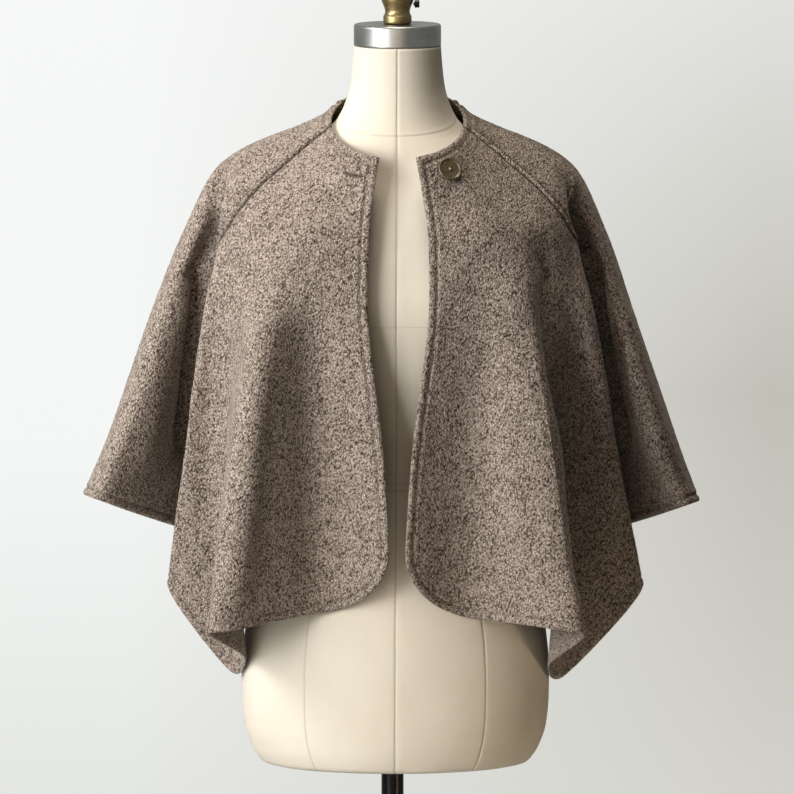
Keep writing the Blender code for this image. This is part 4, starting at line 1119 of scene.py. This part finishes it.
# How much the camera's narrow view is widened over those colours, and where its middle falls.
RISE, SIDEWAYS = (16.0, 2.17), (16.0, 0.5)
# The light that the surround gives, from the viewer's left to the right.
SOFT_LIGHT = ((0.0, (0.064, 0.059, 0.052)), (0.5, (0.016, 0.014, 0.012)), (1.0, (0.008, 0.006, 0.004)))
SEEN_IN_GLOSS = 0.6
GAMMA = 0.85
JACKET_MIDDLE, HIP_EDGE = (0.0, 0.0, 1.15), (0.12, 0.0, 0.75)
LAMPS = (
    # name, size, watts, place, aim, colour, spread in degrees
    ("key_lamp", 1.2, 68.0, (-1.76, -1.70, 1.67), JACKET_MIDDLE, (0.97, 0.985, 1.0), 180.0),
    ("side_lamp", 0.8, 36.0, (-2.01, -0.77, 2.40), JACKET_MIDDLE, (1.0, 1.0, 1.0), 180.0),
    ("low_lamp", 1.3, 16.0, (-1.55, -1.85, 0.50), JACKET_MIDDLE, (1.0, 1.0, 1.0), 180.0),
    ("top_lamp", 0.8, 54.0, (0.0, -0.2, 3.64), JACKET_MIDDLE, (1.0, 0.94, 0.86), 180.0),
    ("fill_lamp", 1.6, 10.5, (-0.2, -2.45, 1.30), JACKET_MIDDLE, (1.0, 0.84, 0.66), 180.0),
    ("hip_lamp", 0.5, 0.20, (1.75, -1.25, 0.30), HIP_EDGE, (1.0, 0.80, 0.56), 12.0),
)

floor_mesh = bpy.data.meshes.new("floor")
floor_mesh.from_pydata([(FLOOR_RADIUS * math.cos(a), FLOOR_RADIUS * math.sin(a), FLOOR_Z)
                        for a in np.arange(FLOOR_STEPS) * math.tau / FLOOR_STEPS],
                       [], [tuple(range(FLOOR_STEPS))])
floor = add_object("floor", floor_mesh)
floor_look, tree, shader = new_look("floor_pale")
speckle = noise(tree, coordinates(tree), 3.0, 3.0)
put(tree, shader, Base_Color=ramp(tree, speckle, (0.3, FLOOR_PALE), (0.7, FLOOR_PALER)), Roughness=0.7)
floor_mesh.materials.append(floor_look)

world = bpy.data.worlds.new("surround")
world.use_nodes = True
bpy.context.scene.world = world
tree = world.node_tree
background = tree.nodes["Background"]
split = tree.nodes.new("ShaderNodeSeparateXYZ")
put(tree, split, Vector=coordinates(tree, "Generated"))
rise = maths(tree, "MULTIPLY_ADD", split.outputs["Z"], *RISE)
sideways = ramp(tree, maths(tree, "MULTIPLY_ADD", split.outputs["X"], *SIDEWAYS), (0.20, 0.0), (0.92, 1.0))
seen = mixed(tree, sideways, ramp(tree, rise, *PALE_SIDE), ramp(tree, rise, *GREY_SIDE))
given = ramp(tree, maths(tree, "MULTIPLY_ADD", split.outputs["X"], 0.5, 0.5), *SOFT_LIGHT)
rays = tree.nodes.new("ShaderNodeLightPath")
seen_by = maths(tree, "MAXIMUM", rays.outputs["Is Camera Ray"],
                maths(tree, "MULTIPLY", rays.outputs["Is Glossy Ray"], SEEN_IN_GLOSS))
put(tree, background, Color=mixed(tree, seen_by, given, seen), Strength=1.0)
bpy.context.scene.view_settings.view_transform = "Standard"
bpy.context.scene.view_settings.gamma = GAMMA

for name, size, watts, place, aim, colour, spread in LAMPS:
    light = bpy.data.lights.new(name, "AREA")
    light.shape = "SQUARE"
    light.size = size
    light.energy = watts
    light.color = colour
    light.spread = math.radians(spread)
    lamp = add_object(name, light)
    lamp.location = place
    lamp.rotation_euler = (Vector(aim) - Vector(place)).to_track_quat("-Z", "Y").to_euler()

view = bpy.data.cameras.new("camera")
view.sensor_width = SENSOR
view.lens = SENSOR * CAMERA_AWAY / (PICTURE_PIXELS * PIXEL)
view.clip_start, view.clip_end = CLIP_FROM, CLIP_TO
camera = add_object("camera", view)
pitch = math.radians(CAMERA_PITCH)
camera.location = AIM + Vector((0.0, -math.cos(pitch), math.sin(pitch))) * CAMERA_AWAY
camera.rotation_euler = (math.radians(90.0 - CAMERA_PITCH), 0.0, 0.0)
bpy.context.scene.camera = camera
